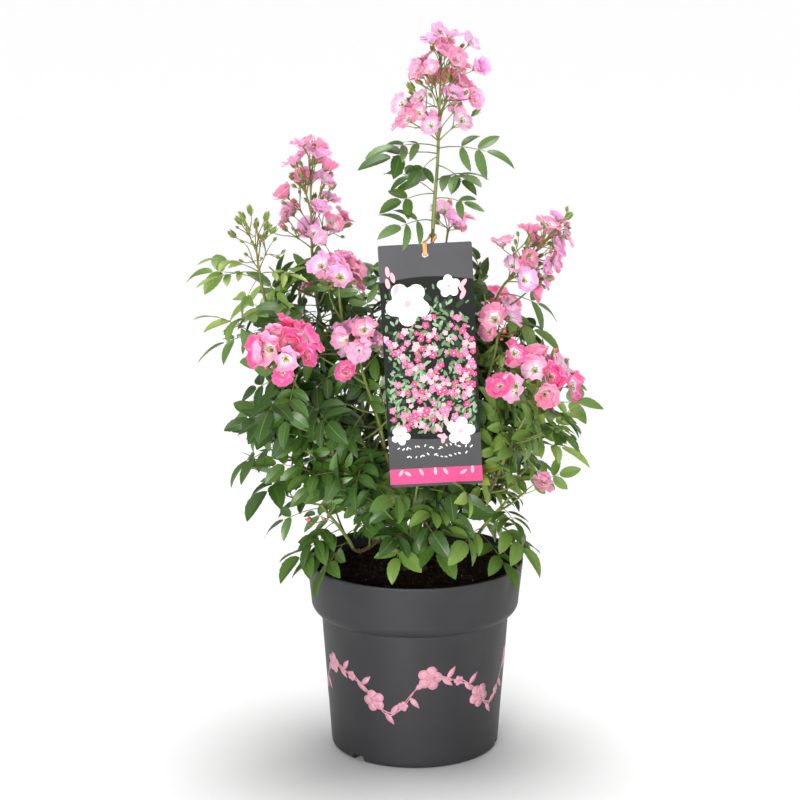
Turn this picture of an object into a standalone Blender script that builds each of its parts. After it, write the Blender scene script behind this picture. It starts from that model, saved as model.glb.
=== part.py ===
"""A rose bush in a plastic nursery pot, with a plain card label tied to its tallest cane.

Metres, +Z up. The origin is the centre of the pot's underside, and -Y is the front, where the label hangs.
Canes rise from a short crown in the potting soil. Each ends in a leafy stem, and most of those end in a
truss of blossom. A seeded rule sets the leaves and blossoms, and each mass keeps to its own space.
"""

import math
import random
from dataclasses import dataclass

import bpy
from mathutils import Matrix, Vector
from mathutils.bvhtree import BVHTree

MM = 0.001
GAP = 0.3 * MM  # between pieces that meet
UP = Vector((0, 0, 1))

# Pot: a round container with a tall collar round its mouth.
POT_HEIGHT = 206 * MM
POT_WALL = 2.4 * MM
MOUTH_RADIUS = 115 * MM
COLLAR_FOOT_RADIUS = 110.5 * MM
COLLAR_FOOT_Z = 161 * MM
BODY_TOP_RADIUS = 100 * MM
BODY_TOP_Z = 149 * MM
BASE_RADIUS = 89.5 * MM
BASE_ROUNDING = 5 * MM
FOOT_RING_WIDTH = 12 * MM
FOOT_RING_HEIGHT = 8 * MM
MIDDLE_FOOT_RADIUS = 22 * MM  # a round foot under the middle of the floor
POT_SEGMENTS = 40
NOTCH_WIDTH = 19 * MM
NOTCH_TURNS = [math.radians(turn) for turn in (-42.5, 77.5, 197.5)]  # from the front, towards +X

# Potting soil: a plug that fills the pot to a little below its mouth.
SOIL_Z = 188 * MM
SOIL_MOUND = 5 * MM

# Crown: the short stump that the canes spring from.
CROWN_HEIGHT = 42 * MM
CROWN_FLARE_RADIUS = 16 * MM
CROWN_RADIUS = 12 * MM
CROWN_SIDES = 16
CANE_TIERS = (14 * MM, 24 * MM, 34 * MM)  # heights on the crown where canes leave it

# Label: a stiff card on a strap, hung at the front.
LABEL_WIDTH = 94 * MM
LABEL_HEIGHT = 250 * MM
LABEL_THICKNESS = 0.9 * MM
LABEL_CORNER = 2 * MM
LABEL_ROLL = math.radians(3.0)
LABEL_TOP = Vector((8.5, -95, 560)) * MM  # middle of the card's top edge
LABEL_HOLE_DROP = 11 * MM
LABEL_HOLE_RADIUS = 3.2 * MM
STRAP_WIDTH = 4.2 * MM
STRAP_THICKNESS = 0.8 * MM
STRAP_RISE = 5 * MM  # how far above the card it goes round the cane
STRAP_SLACK = 0.7 * MM  # between its turn and the cane
STRAP_BENDS = 6  # stretches of its turn round the cane
STRAP_BULGE = 1.4  # how far it stands off the card at the hole, of what it does at the top edge

# Canes and stems: each follows a smooth curve from its base to its end.
CANE_STEPS = 6
CANE_SIDES = 5
CANE_RISE = 1.2  # how steeply a cane leaves the crown, against how far out
CANE_SWEEPS = (0.16, 0.5)  # handles of the curve at its base and end, of its length
SIDE_CANE_START = 0.45  # how high a side cane leaves its parent, of its own rise above the soil
SIDE_CANE_SWEEPS = (0.2, 0.4)
STEM_STEPS = 4
STEM_SIDES = 4
STEM_RADIUS = 2.1 * MM
STEM_TIP_RADIUS = 1.5 * MM
STEM_SWEEP = 0.35

# Leaves: a stalk with side leaflets in pairs and one at its end.
GOLDEN_TURN = math.radians(137.5)
LEAF_SAG = 0.28
STALK_RADIUS = 1.3 * MM
STALK_SHARE = 0.64  # of the leaf's length
PAIR_PLACES = (0.54, 0.30)  # along the leaf's length, outer pair first
PAIR_SIZES = (0.42, 0.36)  # of the leaf's length
PAIR_ANGLE = math.radians(58)
END_SIZE = 0.46  # of the leaf's length
LEAFLET_WIDTH = 0.58  # of the leaflet's length
LEAFLET_BROADEST = 0.45  # along the leaflet's length
LEAFLET_FOLD = 0.26  # how far the rim rises, of half the leaflet's width
LEAFLET_DROOP = 0.12  # how far the tip falls, of the leaflet's length
YOUNG_SHARE = 0.8  # past this share of the stem a leaf has one pair of leaflets, not two

# Blossom: stalked heads round a middle stalk.
MIDDLE_STALK_RADIUS = 1.6 * MM
FLOWER_STALK_RADIUS = 1.1 * MM
BOWL_DEPTH = 0.55  # of the blossom's radius
BUD_LENGTH = 1.1  # of the radius that the blossom would have
BUD_GIRTH = 0.27  # of the bud's length
BOWL_HEART = 0.72  # height of the bowl's middle, of its rim's
HEAD_ROOM = 0.4  # of a blossom's radius: neighbours may overlap past this
SPIRE_STALK = 0.80  # length of a spire's middle stalk, of the spire's height
SPIRE_FOOT, SPIRE_HEAD = 0.16, 0.94  # heights of its lowest and topmost heads
SPIRE_TAPER = 0.8  # how much narrower it is at its head than at its foot
SPIRE_LIFT = 0.22  # how far below its head a flower stalk leaves the middle stalk
DOME_STALK = 0.45
DOME_SAG = 0.4  # how far the outer heads of a dome lie below its middle one
DOME_ROOTS = (0.30, 0.92)  # where flower stalks leave the middle stalk, outer and inner
LOWEST_ROOT = 0.06

# Room that leaves and blossom leave round other things.
CLEARANCE = 0.5 * MM
SOIL_CLEARANCE = 12 * MM
OVERHANG = 45 * MM  # how far a leaf may hang below the pot's mouth outside it
LABEL_CLEARANCE = 4 * MM
SPACE_SHARE = 1.12  # a leaf may lie this much nearer to another stem than to its own

CROWN = "crown"


@dataclass(frozen=True)
class Shoot:
    """One cane and the leafy stem at its end."""

    name: str
    grows_from: str  # CROWN, or the shoot whose cane it branches from
    foot_mm: tuple  # where the bare cane ends and the leafy stem begins
    tip_mm: tuple  # where the leafy stem ends
    leaves: int
    leaf_length_mm: float
    cane_radius_mm: float = 2.9


@dataclass(frozen=True)
class Truss:
    """The blossom at the end of a shoot's stem."""

    shoot: str
    form: str  # "panicle" is a spire, "corymb" a dome, "buds" a dome of closed buds
    heading: tuple
    height_mm: float
    spread_mm: float
    blooms: int
    bloom_radius_mm: float
    buds: int


SHOOTS = (
    Shoot("leader", CROWN, (17, -82, 574), (22, -78, 655), 6, 74, 3.6),
    Shoot("left", CROWN, (-90, 8, 400), (-108, 28, 528), 6, 84, 3.2),
    Shoot("left_bud", "left", (-140, -24, 440), (-160, -34, 520), 5, 84),
    Shoot("mid_left", CROWN, (-54, -34, 374), (-78, -56, 508), 7, 84),
    Shoot("left_front", CROWN, (-88, -78, 350), (-130, -124, 451), 6, 88),
    Shoot("mid_front", "mid_left", (-34, -58, 352), (-58, -74, 446), 6, 80),
    Shoot("mid_low", CROWN, (-32, -42, 288), (-62, -64, 366), 6, 80),
    Shoot("right", CROWN, (58, 0, 380), (92, 2, 500), 6, 84, 3.2),
    Shoot("right_front", CROWN, (58, -32, 350), (84, -46, 455), 6, 80),
    Shoot("right_low", "right_front", (88, -60, 320), (124, -76, 410), 6, 82),
    Shoot("right_side", "right", (98, -6, 300), (124, -14, 378), 6, 74),
    Shoot("left_side", "left", (-116, -28, 308), (-152, -40, 386), 6, 86),
    Shoot("left_low", "left_front", (-66, -44, 230), (-98, -58, 280), 6, 72),
    Shoot("right_foot", CROWN, (62, -40, 236), (98, -58, 288), 6, 74),
    Shoot("front_low", CROWN, (-6, -58, 246), (2, -76, 306), 7, 78),
    Shoot("centre", CROWN, (18, -14, 380), (30, -40, 540), 8, 82, 3.2),
    Shoot("back_left", CROWN, (-58, 66, 350), (-92, 98, 470), 7, 84, 3.2),
    Shoot("back_right", CROWN, (56, 68, 340), (84, 100, 438), 7, 82, 3.2),
    Shoot("back", CROWN, (2, 78, 308), (4, 122, 400), 7, 84),
    Shoot("back_left_low", "back_left", (-74, 50, 256), (-98, 68, 316), 6, 72),
    Shoot("back_right_low", "back_right", (72, 54, 256), (94, 72, 314), 6, 70),
)

TRUSSES = (
    Truss("leader", "panicle", (0.03, 0.06, 1), 125, 46, 12, 14.5, 4),
    Truss("left", "panicle", (-0.02, 0.08, 1), 132, 46, 11, 14.5, 4),
    Truss("left_bud", "buds", (-0.12, -0.05, 1), 66, 28, 0, 12, 8),
    Truss("mid_left", "corymb", (0, -0.35, 1), 34, 23, 5, 18, 1),
    Truss("left_front", "corymb", (-0.1, -0.75, 0.9), 34, 32, 8, 18.5, 1),
    Truss("mid_front", "corymb", (-0.1, -0.5, 1), 32, 26, 5, 15.5, 2),
    Truss("right", "panicle", (0.72, 0.12, 0.76), 108, 42, 10, 14.5, 4),
    Truss("right_front", "corymb", (0.1, -0.35, 1), 32, 22, 4, 16, 1),
    Truss("right_low", "corymb", (0.1, -0.7, 0.8), 34, 40, 8, 17, 2),
    Truss("centre", "corymb", (0.1, 0.1, 1), 52, 24, 4, 13, 2),
    Truss("back_left", "corymb", (-0.2, 0.5, 1), 34, 29, 6, 19, 1),
    Truss("back_right", "corymb", (0.2, 0.5, 1), 34, 28, 5, 18, 1),
    Truss("back", "corymb", (0, 0.8, 0.9), 34, 28, 5, 19, 1),
)


# ---------------------------------------------------------------- materials and objects


def material(name, colour, roughness):
    """A Principled material."""
    made = bpy.data.materials.new(name)
    made.use_nodes = True
    shader = made.node_tree.nodes["Principled BSDF"]
    shader.inputs["Base Color"].default_value = (*colour, 1)
    shader.inputs["Roughness"].default_value = roughness
    return made


def clear_scene():
    """Removes whatever the scene holds at the start."""
    for old in list(bpy.data.objects):
        bpy.data.objects.remove(old, do_unlink=True)


def mesh_object(name, shape, finish=None, collection=None):
    """An object whose mesh has the shape's points and faces."""
    points, faces = shape
    mesh = bpy.data.meshes.new(name)
    mesh.from_pydata([tuple(p) for p in points], [], faces)
    mesh.validate()
    made = bpy.data.objects.new(name, mesh)
    if finish:
        mesh.materials.append(finish)
    (collection or bpy.context.scene.collection).objects.link(made)
    return made


def apply_modifiers(obj):
    """Replaces the object's mesh with what its modifiers make of it, and drops them."""
    graph = bpy.context.evaluated_depsgraph_get()
    made = bpy.data.meshes.new_from_object(obj.evaluated_get(graph))
    obj.modifiers.clear()
    obj.data = made


def shade_round(obj, angle=math.radians(35)):
    """Smooth shading, with edges sharper than the angle kept."""
    obj.data.shade_smooth()
    obj.data.set_sharp_from_angle(angle=angle)


# ---------------------------------------------------------------- plain shapes


def side_axes(direction):
    """Two directions at right angles to this one and to each other."""
    helper = UP if abs(direction.z) < 0.9 else Vector((1, 0, 0))
    first = direction.cross(helper).normalized()
    return first, direction.cross(first).normalized()


def tube(points, tangents, radii, sides):
    """A closed tapering limb along the points, with a flat cap across each end."""
    corners, first = [], side_axes(tangents[0])[0]
    for point, tangent, radius in zip(points, tangents, radii):
        first = (first - tangent * first.dot(tangent)).normalized()
        corners += ring_of(point, tangent, radius, first, sides)
    faces = [tuple(reversed(range(sides)))]
    for ring in range(len(points) - 1):
        for side in range(sides):
            low, after = ring * sides + side, ring * sides + (side + 1) % sides
            faces.append((low, after, after + sides, low + sides))
    last = (len(points) - 1) * sides
    faces.append(tuple(range(last, last + sides)))
    return corners, faces


def rod(start, end, start_radius, end_radius, sides=3):
    """A straight tapering twig."""
    along = (end - start).normalized()
    return tube([start, end], [along, along], [start_radius, end_radius], sides)


def leaflet(base, along, normal, length, grow=0.0):
    """A leaflet of four faces: keeled below, dished above, widest near its middle, tip bent down."""
    across = along.cross(normal).normalized()
    normal = across.cross(along).normalized()
    half = LEAFLET_WIDTH * length / 2 + grow
    middle = base + along * length * LEAFLET_BROADEST
    rim = normal * (half * LEAFLET_FOLD + grow)
    corners = [
        base - (along + normal) * grow,
        middle - across * half + rim,
        base + along * (length + grow) - normal * (length * LEAFLET_DROOP + grow),
        middle + across * half + rim,
    ]
    return corners, [(0, 1, 2), (0, 2, 3), (0, 3, 1), (2, 1, 3)]


def three_sided(rings, tip):
    """A closed body on three-cornered rings that ends in a point."""
    faces = [(0, 2, 1)]
    for first in range(0, 3 * len(rings) - 3, 3):
        for side in range(3):
            low, after = first + side, first + (side + 1) % 3
            faces += [(low, after, after + 3), (low, after + 3, low + 3)]
    last = 3 * len(rings) - 3
    for side in range(3):
        faces.append((last + side, last + (side + 1) % 3, last + 3))
    return [corner for ring in rings for corner in ring] + [tip], faces


def ring_of(point, along, radius, first, corners=3):
    """Corners round a point, square to a direction, starting at the side named first."""
    first = (first - along * first.dot(along)).normalized()
    second = along.cross(first)
    turns = [2 * math.pi * corner / corners for corner in range(corners)]
    return [point + (first * math.cos(turn) + second * math.sin(turn)) * radius for turn in turns]


def stalked_leaflet(start, end, normal, length, grow=0.0):
    """A leaf's stalk that runs on into the leaflet at its end."""
    along = (end - start).normalized()
    normal = (normal - along * normal.dot(along)).normalized()
    across = along.cross(normal)
    half = LEAFLET_WIDTH * length / 2 + grow
    middle = end + along * length * LEAFLET_BROADEST
    tip = end + along * (length + grow) - normal * (length * LEAFLET_DROOP + grow)
    keel = end.lerp(tip, LEAFLET_BROADEST) - normal * grow
    rim = normal * (half * LEAFLET_FOLD + grow)
    rings = [
        ring_of(start, along, STALK_RADIUS + grow, -normal),
        ring_of(end, along, STALK_RADIUS * 0.8 + grow, -normal),
        [keel, middle - across * half + rim, middle + across * half + rim],
    ]
    return three_sided(rings, tip)


def bud(root, base, along, length, grow=0.0):
    """A closed bud on its stalk, both three-sided."""
    stalk = (base - root).normalized()
    first = side_axes(stalk)[0]
    rings = [
        ring_of(root, stalk, FLOWER_STALK_RADIUS + grow, first),
        ring_of(base, stalk, FLOWER_STALK_RADIUS * 0.9 + grow, first),
        ring_of(base + along * length * 0.4, stalk, length * BUD_GIRTH + grow, first),
    ]
    return three_sided(rings, base + along * (length + grow))


def bloom(root, base, facing, radius, grow=0.0):
    """An open blossom on its stalk: a three-sided stalk that widens into a shallow six-sided bowl."""
    stalk = (base - root).normalized()
    first = side_axes(stalk)[0]
    corners = ring_of(root, stalk, FLOWER_STALK_RADIUS + grow, first)
    corners += ring_of(base, stalk, FLOWER_STALK_RADIUS * 0.9 + grow, first)
    corners += ring_of(base + facing * radius * BOWL_DEPTH, facing, radius + grow, first, 6)
    corners.append(base + facing * (radius * BOWL_DEPTH * BOWL_HEART + grow))
    faces = [(0, 2, 1)]
    for side in range(3):
        after = (side + 1) % 3
        rim = (6 + 2 * side, 7 + 2 * side, 6 + (2 * side + 2) % 6)
        faces += [(side, after, after + 3), (side, after + 3, side + 3)]
        faces += [(side + 3, rim[1], rim[0]), (side + 3, rim[2], rim[1]), (side + 3, after + 3, rim[2])]
    faces += [(12, 6 + side, 6 + (side + 1) % 6) for side in range(6)]
    return corners, faces


# ---------------------------------------------------------------- the rule of growth


def bezier(start, leave, arrive, end, steps):
    """Points and directions along a smooth curve."""
    points, tangents = [], []
    for step in range(steps + 1):
        t = step / steps
        s = 1 - t
        points.append(
            start * s**3 + leave * 3 * s * s * t + arrive * 3 * s * t * t + end * t**3
        )
        slope = (leave - start) * s * s + (arrive - leave) * 2 * s * t + (end - arrive) * t * t
        tangents.append(slope.normalized())
    return points, tangents


def tapered(first, last, steps):
    """Radii that change evenly from first to last."""
    return [first + (last - first) * step / steps for step in range(steps + 1)]


def vector_mm(values):
    """A point given in millimetres, in metres."""
    return Vector(values) * MM


def turn_of(point):
    """The compass turn of a point round the pot's axis."""
    return math.atan2(point.x, -point.y)


def outward(turn):
    """The level direction at that turn."""
    return Vector((math.sin(turn), -math.cos(turn), 0))


class Growth:
    """Works out every cane, stem, leaf and blossom from the lists of shoots and trusses."""

    def __init__(self):
        self.shoots = {shoot.name: shoot for shoot in SHOOTS}
        self.canes = {}
        on_crown = [shoot for shoot in SHOOTS if shoot.grows_from == CROWN]
        on_crown.sort(key=lambda shoot: turn_of(vector_mm(shoot.foot_mm)))
        for slot, shoot in enumerate(on_crown):
            self.canes[shoot.name] = self.cane_from_crown(shoot, slot, len(on_crown))
        for shoot in SHOOTS:
            if shoot.grows_from != CROWN:
                self.canes[shoot.name] = self.cane_from_cane(shoot)
        self.stems = {shoot.name: self.stem(shoot) for shoot in SHOOTS}

    def heading(self, shoot):
        """The way the stem sets off from its cane: towards its tip, and a little more upwards."""
        rise = (vector_mm(shoot.tip_mm) - vector_mm(shoot.foot_mm)).normalized()
        return (rise + UP * STEM_SWEEP).normalized()

    def cane_from_crown(self, shoot, slot, slots):
        """A cane that leaves the crown at its own slot round it, and sweeps up to its foot."""
        foot = vector_mm(shoot.foot_mm)
        out = outward(2 * math.pi * (slot + 0.5) / slots - math.pi)
        tier = CANE_TIERS[slot % len(CANE_TIERS)]
        beside = crown_radius_at(tier - shoot.cane_radius_mm * MM) + GAP
        start = out * beside + UP * (SOIL_Z + SOIL_MOUND + tier)
        reach = (foot - start).length
        leave = start + (out + UP * CANE_RISE).normalized() * CANE_SWEEPS[0] * reach
        arrive = foot - self.heading(shoot) * CANE_SWEEPS[1] * reach
        points, tangents = bezier(start, leave, arrive, foot, CANE_STEPS)
        return points, [out, *tangents[1:]]

    def cane_from_cane(self, shoot):
        """A side cane that leaves its parent square to it, towards its own foot."""
        foot = vector_mm(shoot.foot_mm)
        points, tangents = self.canes[shoot.grows_from]
        middle = CANE_STEPS // 2
        joint_z = SOIL_Z + SIDE_CANE_START * (foot.z - SOIL_Z)
        place = min((middle - 1, middle), key=lambda step: abs(points[step].z - joint_z))
        joint, along = points[place], tangents[place]
        side = foot - joint
        side = (side - along * side.dot(along)).normalized()
        parent_radius = self.cane_radii(self.shoots[shoot.grows_from])[place]
        start = joint + side * (parent_radius + GAP)
        reach = (foot - start).length
        leave = start + side * SIDE_CANE_SWEEPS[0] * reach
        arrive = foot - self.heading(shoot) * SIDE_CANE_SWEEPS[1] * reach
        return bezier(start, leave, arrive, foot, CANE_STEPS)

    def cane_radii(self, shoot):
        """The cane's radius at each of its points, from its base to where foliage takes over."""
        return tapered(shoot.cane_radius_mm * MM, STEM_RADIUS, CANE_STEPS)

    def stem(self, shoot):
        """The leafy stem: it goes on from its cane, and straightens towards its truss."""
        foot, tip = vector_mm(shoot.foot_mm), vector_mm(shoot.tip_mm)
        out = self.heading(shoot)
        sweep = STEM_SWEEP * (tip - foot).length
        start = foot + out * GAP
        arrive = tip - self.tip_heading(shoot) * sweep
        return bezier(start, start + out * sweep, arrive, tip, STEM_STEPS)

    def tip_heading(self, shoot):
        """The way the stem points at its end, which is the way its truss faces."""
        for truss in TRUSSES:
            if truss.shoot == shoot.name:
                return (Vector(truss.heading).normalized() + UP * 0.4).normalized()
        return (vector_mm(shoot.tip_mm) - vector_mm(shoot.foot_mm)).normalized()

    def on_path(self, path, share):
        """The point and direction at a share of the way along a path."""
        points, tangents = path
        place = share * (len(points) - 1)
        low = min(int(place), len(points) - 2)
        part = place - low
        return (
            points[low].lerp(points[low + 1], part),
            tangents[low].lerp(tangents[low + 1], part).normalized(),
        )

    def leaf_direction(self, along, around, lift):
        """A direction out from a stem: around it by one turn, and raised along it by another."""
        first, second = side_axes(along)
        out = first * math.cos(around) + second * math.sin(around)
        return (out * math.cos(lift) + along * math.sin(lift)).normalized()

    def leaves_of(self, shoot):
        """A stem's leaves as (base, direction, length, pairs of leaflets)."""
        rng = random.Random(shoot.name)
        first_turn = rng.uniform(0, 2 * math.pi)
        leaves = []
        for index in range(shoot.leaves):
            share = (index + 0.5) / shoot.leaves
            base, along = self.on_path(self.stems[shoot.name], share)
            around = first_turn + index * GOLDEN_TURN + rng.uniform(-0.3, 0.3)
            lift = math.radians(rng.uniform(8, 38))
            size = shoot.leaf_length_mm * MM * rng.uniform(0.86, 1.08)
            pairs = 1 if share > YOUNG_SHARE else 2
            leaves.append((base, self.leaf_direction(along, around, lift), size, pairs))
        return leaves

    def leaf_normal(self, base, along):
        """The way a leaf's face looks: up, and out from the middle of the bush."""
        out = Vector((base.x, base.y, 0))
        facing = UP * 0.75 + out.normalized() * 0.65 if out.length > 1 * MM else UP
        return (facing - along * facing.dot(along)).normalized()

    def parts_of_leaf(self, base, along, size, pairs):
        """A leaf's stalk and end leaflet as (start, end, normal, length of leaflet), and the leaflets
        of its pairs as (base, direction, normal, length)."""
        droop = (along - UP * LEAF_SAG).normalized()
        end = base + droop * size * STALK_SHARE
        normal = self.leaf_normal(base, droop)
        across = droop.cross(normal)
        leaflets = []
        for place, share in list(zip(PAIR_PLACES, PAIR_SIZES))[:pairs]:
            for side in (-1, 1):
                out = droop * math.cos(PAIR_ANGLE) + across * side * math.sin(PAIR_ANGLE)
                out = (out - UP * 0.10).normalized()
                root = base + droop * size * place - out * 0.5 * MM
                leaflets.append((root, out, normal, size * share))
        return (base, end, normal, size * END_SIZE), leaflets

    def own_space(self, name, point):
        """Whether a point is nearer to this shoot's stem than to any other shoot's."""
        mine = self.distance_to_stem(name, point)
        return all(
            mine <= self.distance_to_stem(other, point) * SPACE_SHARE
            for other in self.stems
            if other != name
        )

    def distance_to_stem(self, name, point):
        """How far a point is from the straight line between a stem's ends."""
        start, end = self.stems[name][0][0], self.stems[name][0][-1]
        along = end - start
        share = max(0.0, min(1.0, (point - start).dot(along) / along.length_squared))
        return (point - start - along * share).length

    def blossoms(self, truss):
        """A truss's middle stalk as (start, end), and its heads as (root, base, facing, size, open)."""
        rng = random.Random(truss.shoot + " truss")
        tip = self.stems[truss.shoot][0][-1]
        start = tip + self.stems[truss.shoot][1][-1] * GAP
        height, spread = truss.height_mm * MM, truss.spread_mm * MM
        way = Vector(truss.heading).normalized()
        first, second = side_axes(way)
        spire = truss.form == "panicle"
        top = start + way * height * (SPIRE_STALK if spire else DOME_STALK)
        count = truss.blooms + truss.buds
        opened = [index < truss.blooms for index in range(count)]
        rng.shuffle(opened)
        heads = []
        for index, is_open in enumerate(opened):
            share = (index + 0.5) / count
            around = index * GOLDEN_TURN + rng.uniform(-0.2, 0.2)
            ring = first * math.cos(around) + second * math.sin(around)
            if spire:
                level = SPIRE_FOOT + (SPIRE_HEAD - SPIRE_FOOT) * share
                reach = spread * (1 - SPIRE_TAPER * share) * rng.uniform(0.9, 1.0)
                root = start.lerp(top, max(LOWEST_ROOT, level - SPIRE_LIFT))
            else:
                reach = spread * math.sqrt(share) * rng.uniform(0.92, 1.0)
                level = 1 - DOME_SAG * share * rng.uniform(0.8, 1.2)
                outer, inner = DOME_ROOTS
                root = start.lerp(top, inner + (outer - inner) * share)
            place = start + way * height * level + ring * reach
            stalk = (place - root).normalized()
            facing = (ring * 0.7 * reach / spread + way * 0.5 + stalk * 0.5).normalized()
            size = truss.bloom_radius_mm * MM * rng.uniform(0.85, 1.08)
            base = place - facing * size * BOWL_DEPTH
            heads.append((root, base, facing, size, is_open))
        return (start, top), heads


def crown_radius_at(height):
    """The crown's radius at a height above the soil: it flares towards its foot."""
    flare = max(0.0, 1 - height / (0.3 * CROWN_HEIGHT))
    return CROWN_RADIUS + (CROWN_FLARE_RADIUS - CROWN_RADIUS) * flare**2


# ---------------------------------------------------------------- masses


def fused(name, shapes, finish):
    """One solid: the union of these closed shapes."""
    helpers = bpy.data.collections.new(name + "_shapes")
    bpy.context.scene.collection.children.link(helpers)
    whole = mesh_object(name, shapes[0], finish)
    for index, shape in enumerate(shapes[1:]):
        mesh_object(f"{name}_shape_{index}", shape, finish, helpers)
    join = whole.modifiers.new("join", "BOOLEAN")
    join.operation = "UNION"
    join.operand_type = "COLLECTION"
    join.collection = helpers
    join.solver = "MANIFOLD"
    apply_modifiers(whole)
    for helper in list(helpers.objects):
        bpy.data.objects.remove(helper, do_unlink=True)
    bpy.data.collections.remove(helpers)
    return whole


def shape_of(obj):
    """The points and faces of an object, as its modifiers leave them."""
    mesh = obj.evaluated_get(bpy.context.evaluated_depsgraph_get()).data
    return [obj.matrix_world @ v.co for v in mesh.vertices], [tuple(f.vertices) for f in mesh.polygons]


def tree_of(shapes):
    """A search tree over the faces of several shapes."""
    points, faces = [], []
    for corners, sides in shapes:
        start = len(points)
        points += corners
        faces += [tuple(start + i for i in side) for side in sides]
    return BVHTree.FromPolygons(points, faces)


class Room:
    """What stands in the way of a new twig, leaf or blossom."""

    def __init__(self):
        self.taken = {}

    def add(self, owner, shapes):
        """Notes shapes that belong to a node."""
        self.taken.setdefault(owner, []).append(tree_of(shapes))

    def free(self, shape, beside=()):
        """Whether a shape touches nothing but what belongs to the nodes in beside."""
        tree = tree_of([shape])
        return not any(
            tree.overlap(other)
            for owner, trees in self.taken.items()
            if owner not in beside
            for other in trees
        )


def above_pot(shape):
    """Whether every corner is above the soil, or no more than a little below the pot's mouth."""
    for corner in shape[0]:
        over_soil = math.hypot(corner.x, corner.y) < MOUTH_RADIUS
        if corner.z < (SOIL_Z + SOIL_CLEARANCE if over_soil else POT_HEIGHT - OVERHANG):
            return False
    return True


def behind_label(shape):
    """Whether no corner lies in front of the label, or close to it."""
    middle = label_matrix() @ Vector((0, 0, -LABEL_HEIGHT / 2))
    for corner in shape[0]:
        beside = abs(corner.x - middle.x) > LABEL_WIDTH / 2 + 2 * LABEL_CLEARANCE
        past = abs(corner.z - middle.z) > LABEL_HEIGHT / 2 + LABEL_CLEARANCE
        if not (beside or past) and corner.y < LABEL_TOP.y + LABEL_CLEARANCE:
            return False
    return True


def build_foliage(growth, shoot, room, finish):
    """One mass of foliage: its stem with every leaf that has room."""
    name = shoot.name + "_foliage"
    shapes = [stem_shape(growth, shoot)]
    for base, along, size, pairs in growth.leaves_of(shoot):
        (start, end, normal, length), leaflets = growth.parts_of_leaf(base, along, size, pairs)
        test = stalked_leaflet(start, end, normal, length, grow=CLEARANCE)
        if not fits(test, name, room) or not growth.own_space(shoot.name, start.lerp(end, 0.6)):
            continue
        grown = [stalked_leaflet(start, end, normal, length)]
        for leaf in leaflets:
            if fits(leaflet(*leaf, grow=CLEARANCE), name, room):
                grown.append(leaflet(*leaf))
        room.add(name, grown)
        shapes += grown
    return fused(name, shapes, finish)


def fits(shape, name, room):
    """Whether a shape of this node is clear of the pot, the label and every other node."""
    return above_pot(shape) and behind_label(shape) and room.free(shape, (name,))


def stem_shape(growth, shoot):
    """The leafy stem's own limb."""
    points, tangents = growth.stems[shoot.name]
    return tube(points, tangents, tapered(STEM_RADIUS, STEM_TIP_RADIUS, STEM_STEPS), STEM_SIDES)


def flower_head(root, base, facing, size, is_open, grow=0.0):
    """A blossom or a bud, on its stalk."""
    if is_open:
        return bloom(root, base, facing, size, grow)
    return bud(root, base, facing, size * BUD_LENGTH, grow)


def build_truss(growth, truss, room, finish):
    """One truss: a middle stalk, and every blossom and bud on it that has room."""
    name = truss.shoot + "_blossom"
    (start, top), heads = growth.blossoms(truss)
    shapes = [rod(start, top, MIDDLE_STALK_RADIUS, MIDDLE_STALK_RADIUS * 0.8)]
    for root, base, facing, size, is_open in heads:
        outside = root + (base - root).normalized() * 5 * MM
        small = flower_head(outside, base, facing, size * HEAD_ROOM, is_open)
        test = flower_head(root, base, facing, size, is_open, grow=CLEARANCE)
        if fits(test, name, room) and room.free(small):
            shapes.append(flower_head(root, base, facing, size, is_open))
            room.add(name, shapes[-1:])
    room.add(name, shapes[:1])
    return fused(name, shapes, finish)


# ---------------------------------------------------------------- pot, soil and crown


def lathe(name, profile, finish):
    """A body turned round the Z axis from (radius, height) points, first and last on the axis."""
    made = mesh_object(name, ([Vector((r, 0, z)) for r, z in profile], []), finish)
    made.data.edges.add(len(profile) - 1)
    for index, edge in enumerate(made.data.edges):
        edge.vertices = (index, index + 1)
    made.data.update()
    screw = made.modifiers.new("turn", "SCREW")
    screw.steps = screw.render_steps = POT_SEGMENTS
    screw.use_merge_vertices = True
    screw.merge_threshold = 0.00001
    screw.use_normal_calculate = True
    apply_modifiers(made)
    return made


def outer_collar():
    """The quarter round under the collar, from its widest point down to the body."""
    points = []
    for step in range(4):
        turn = math.pi / 2 * step / 3
        across = (COLLAR_FOOT_RADIUS - BODY_TOP_RADIUS) * math.cos(turn)
        down = (COLLAR_FOOT_Z - BODY_TOP_Z) * math.sin(turn)
        points.append((BODY_TOP_RADIUS + across, COLLAR_FOOT_Z - down))
    return points


def inner_wall(clearance=0.0):
    """The pot's inside from its floor to its mouth, or the same line moved in by a clearance."""
    inset = POT_WALL + clearance
    rise = 1.5 * MM
    return [
        (BASE_RADIUS - inset, FOOT_RING_HEIGHT + POT_WALL + clearance),
        (BODY_TOP_RADIUS - inset, BODY_TOP_Z + rise + clearance),
        (COLLAR_FOOT_RADIUS - inset, COLLAR_FOOT_Z + rise + clearance),
        (MOUTH_RADIUS - inset, POT_HEIGHT),
    ]


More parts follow.
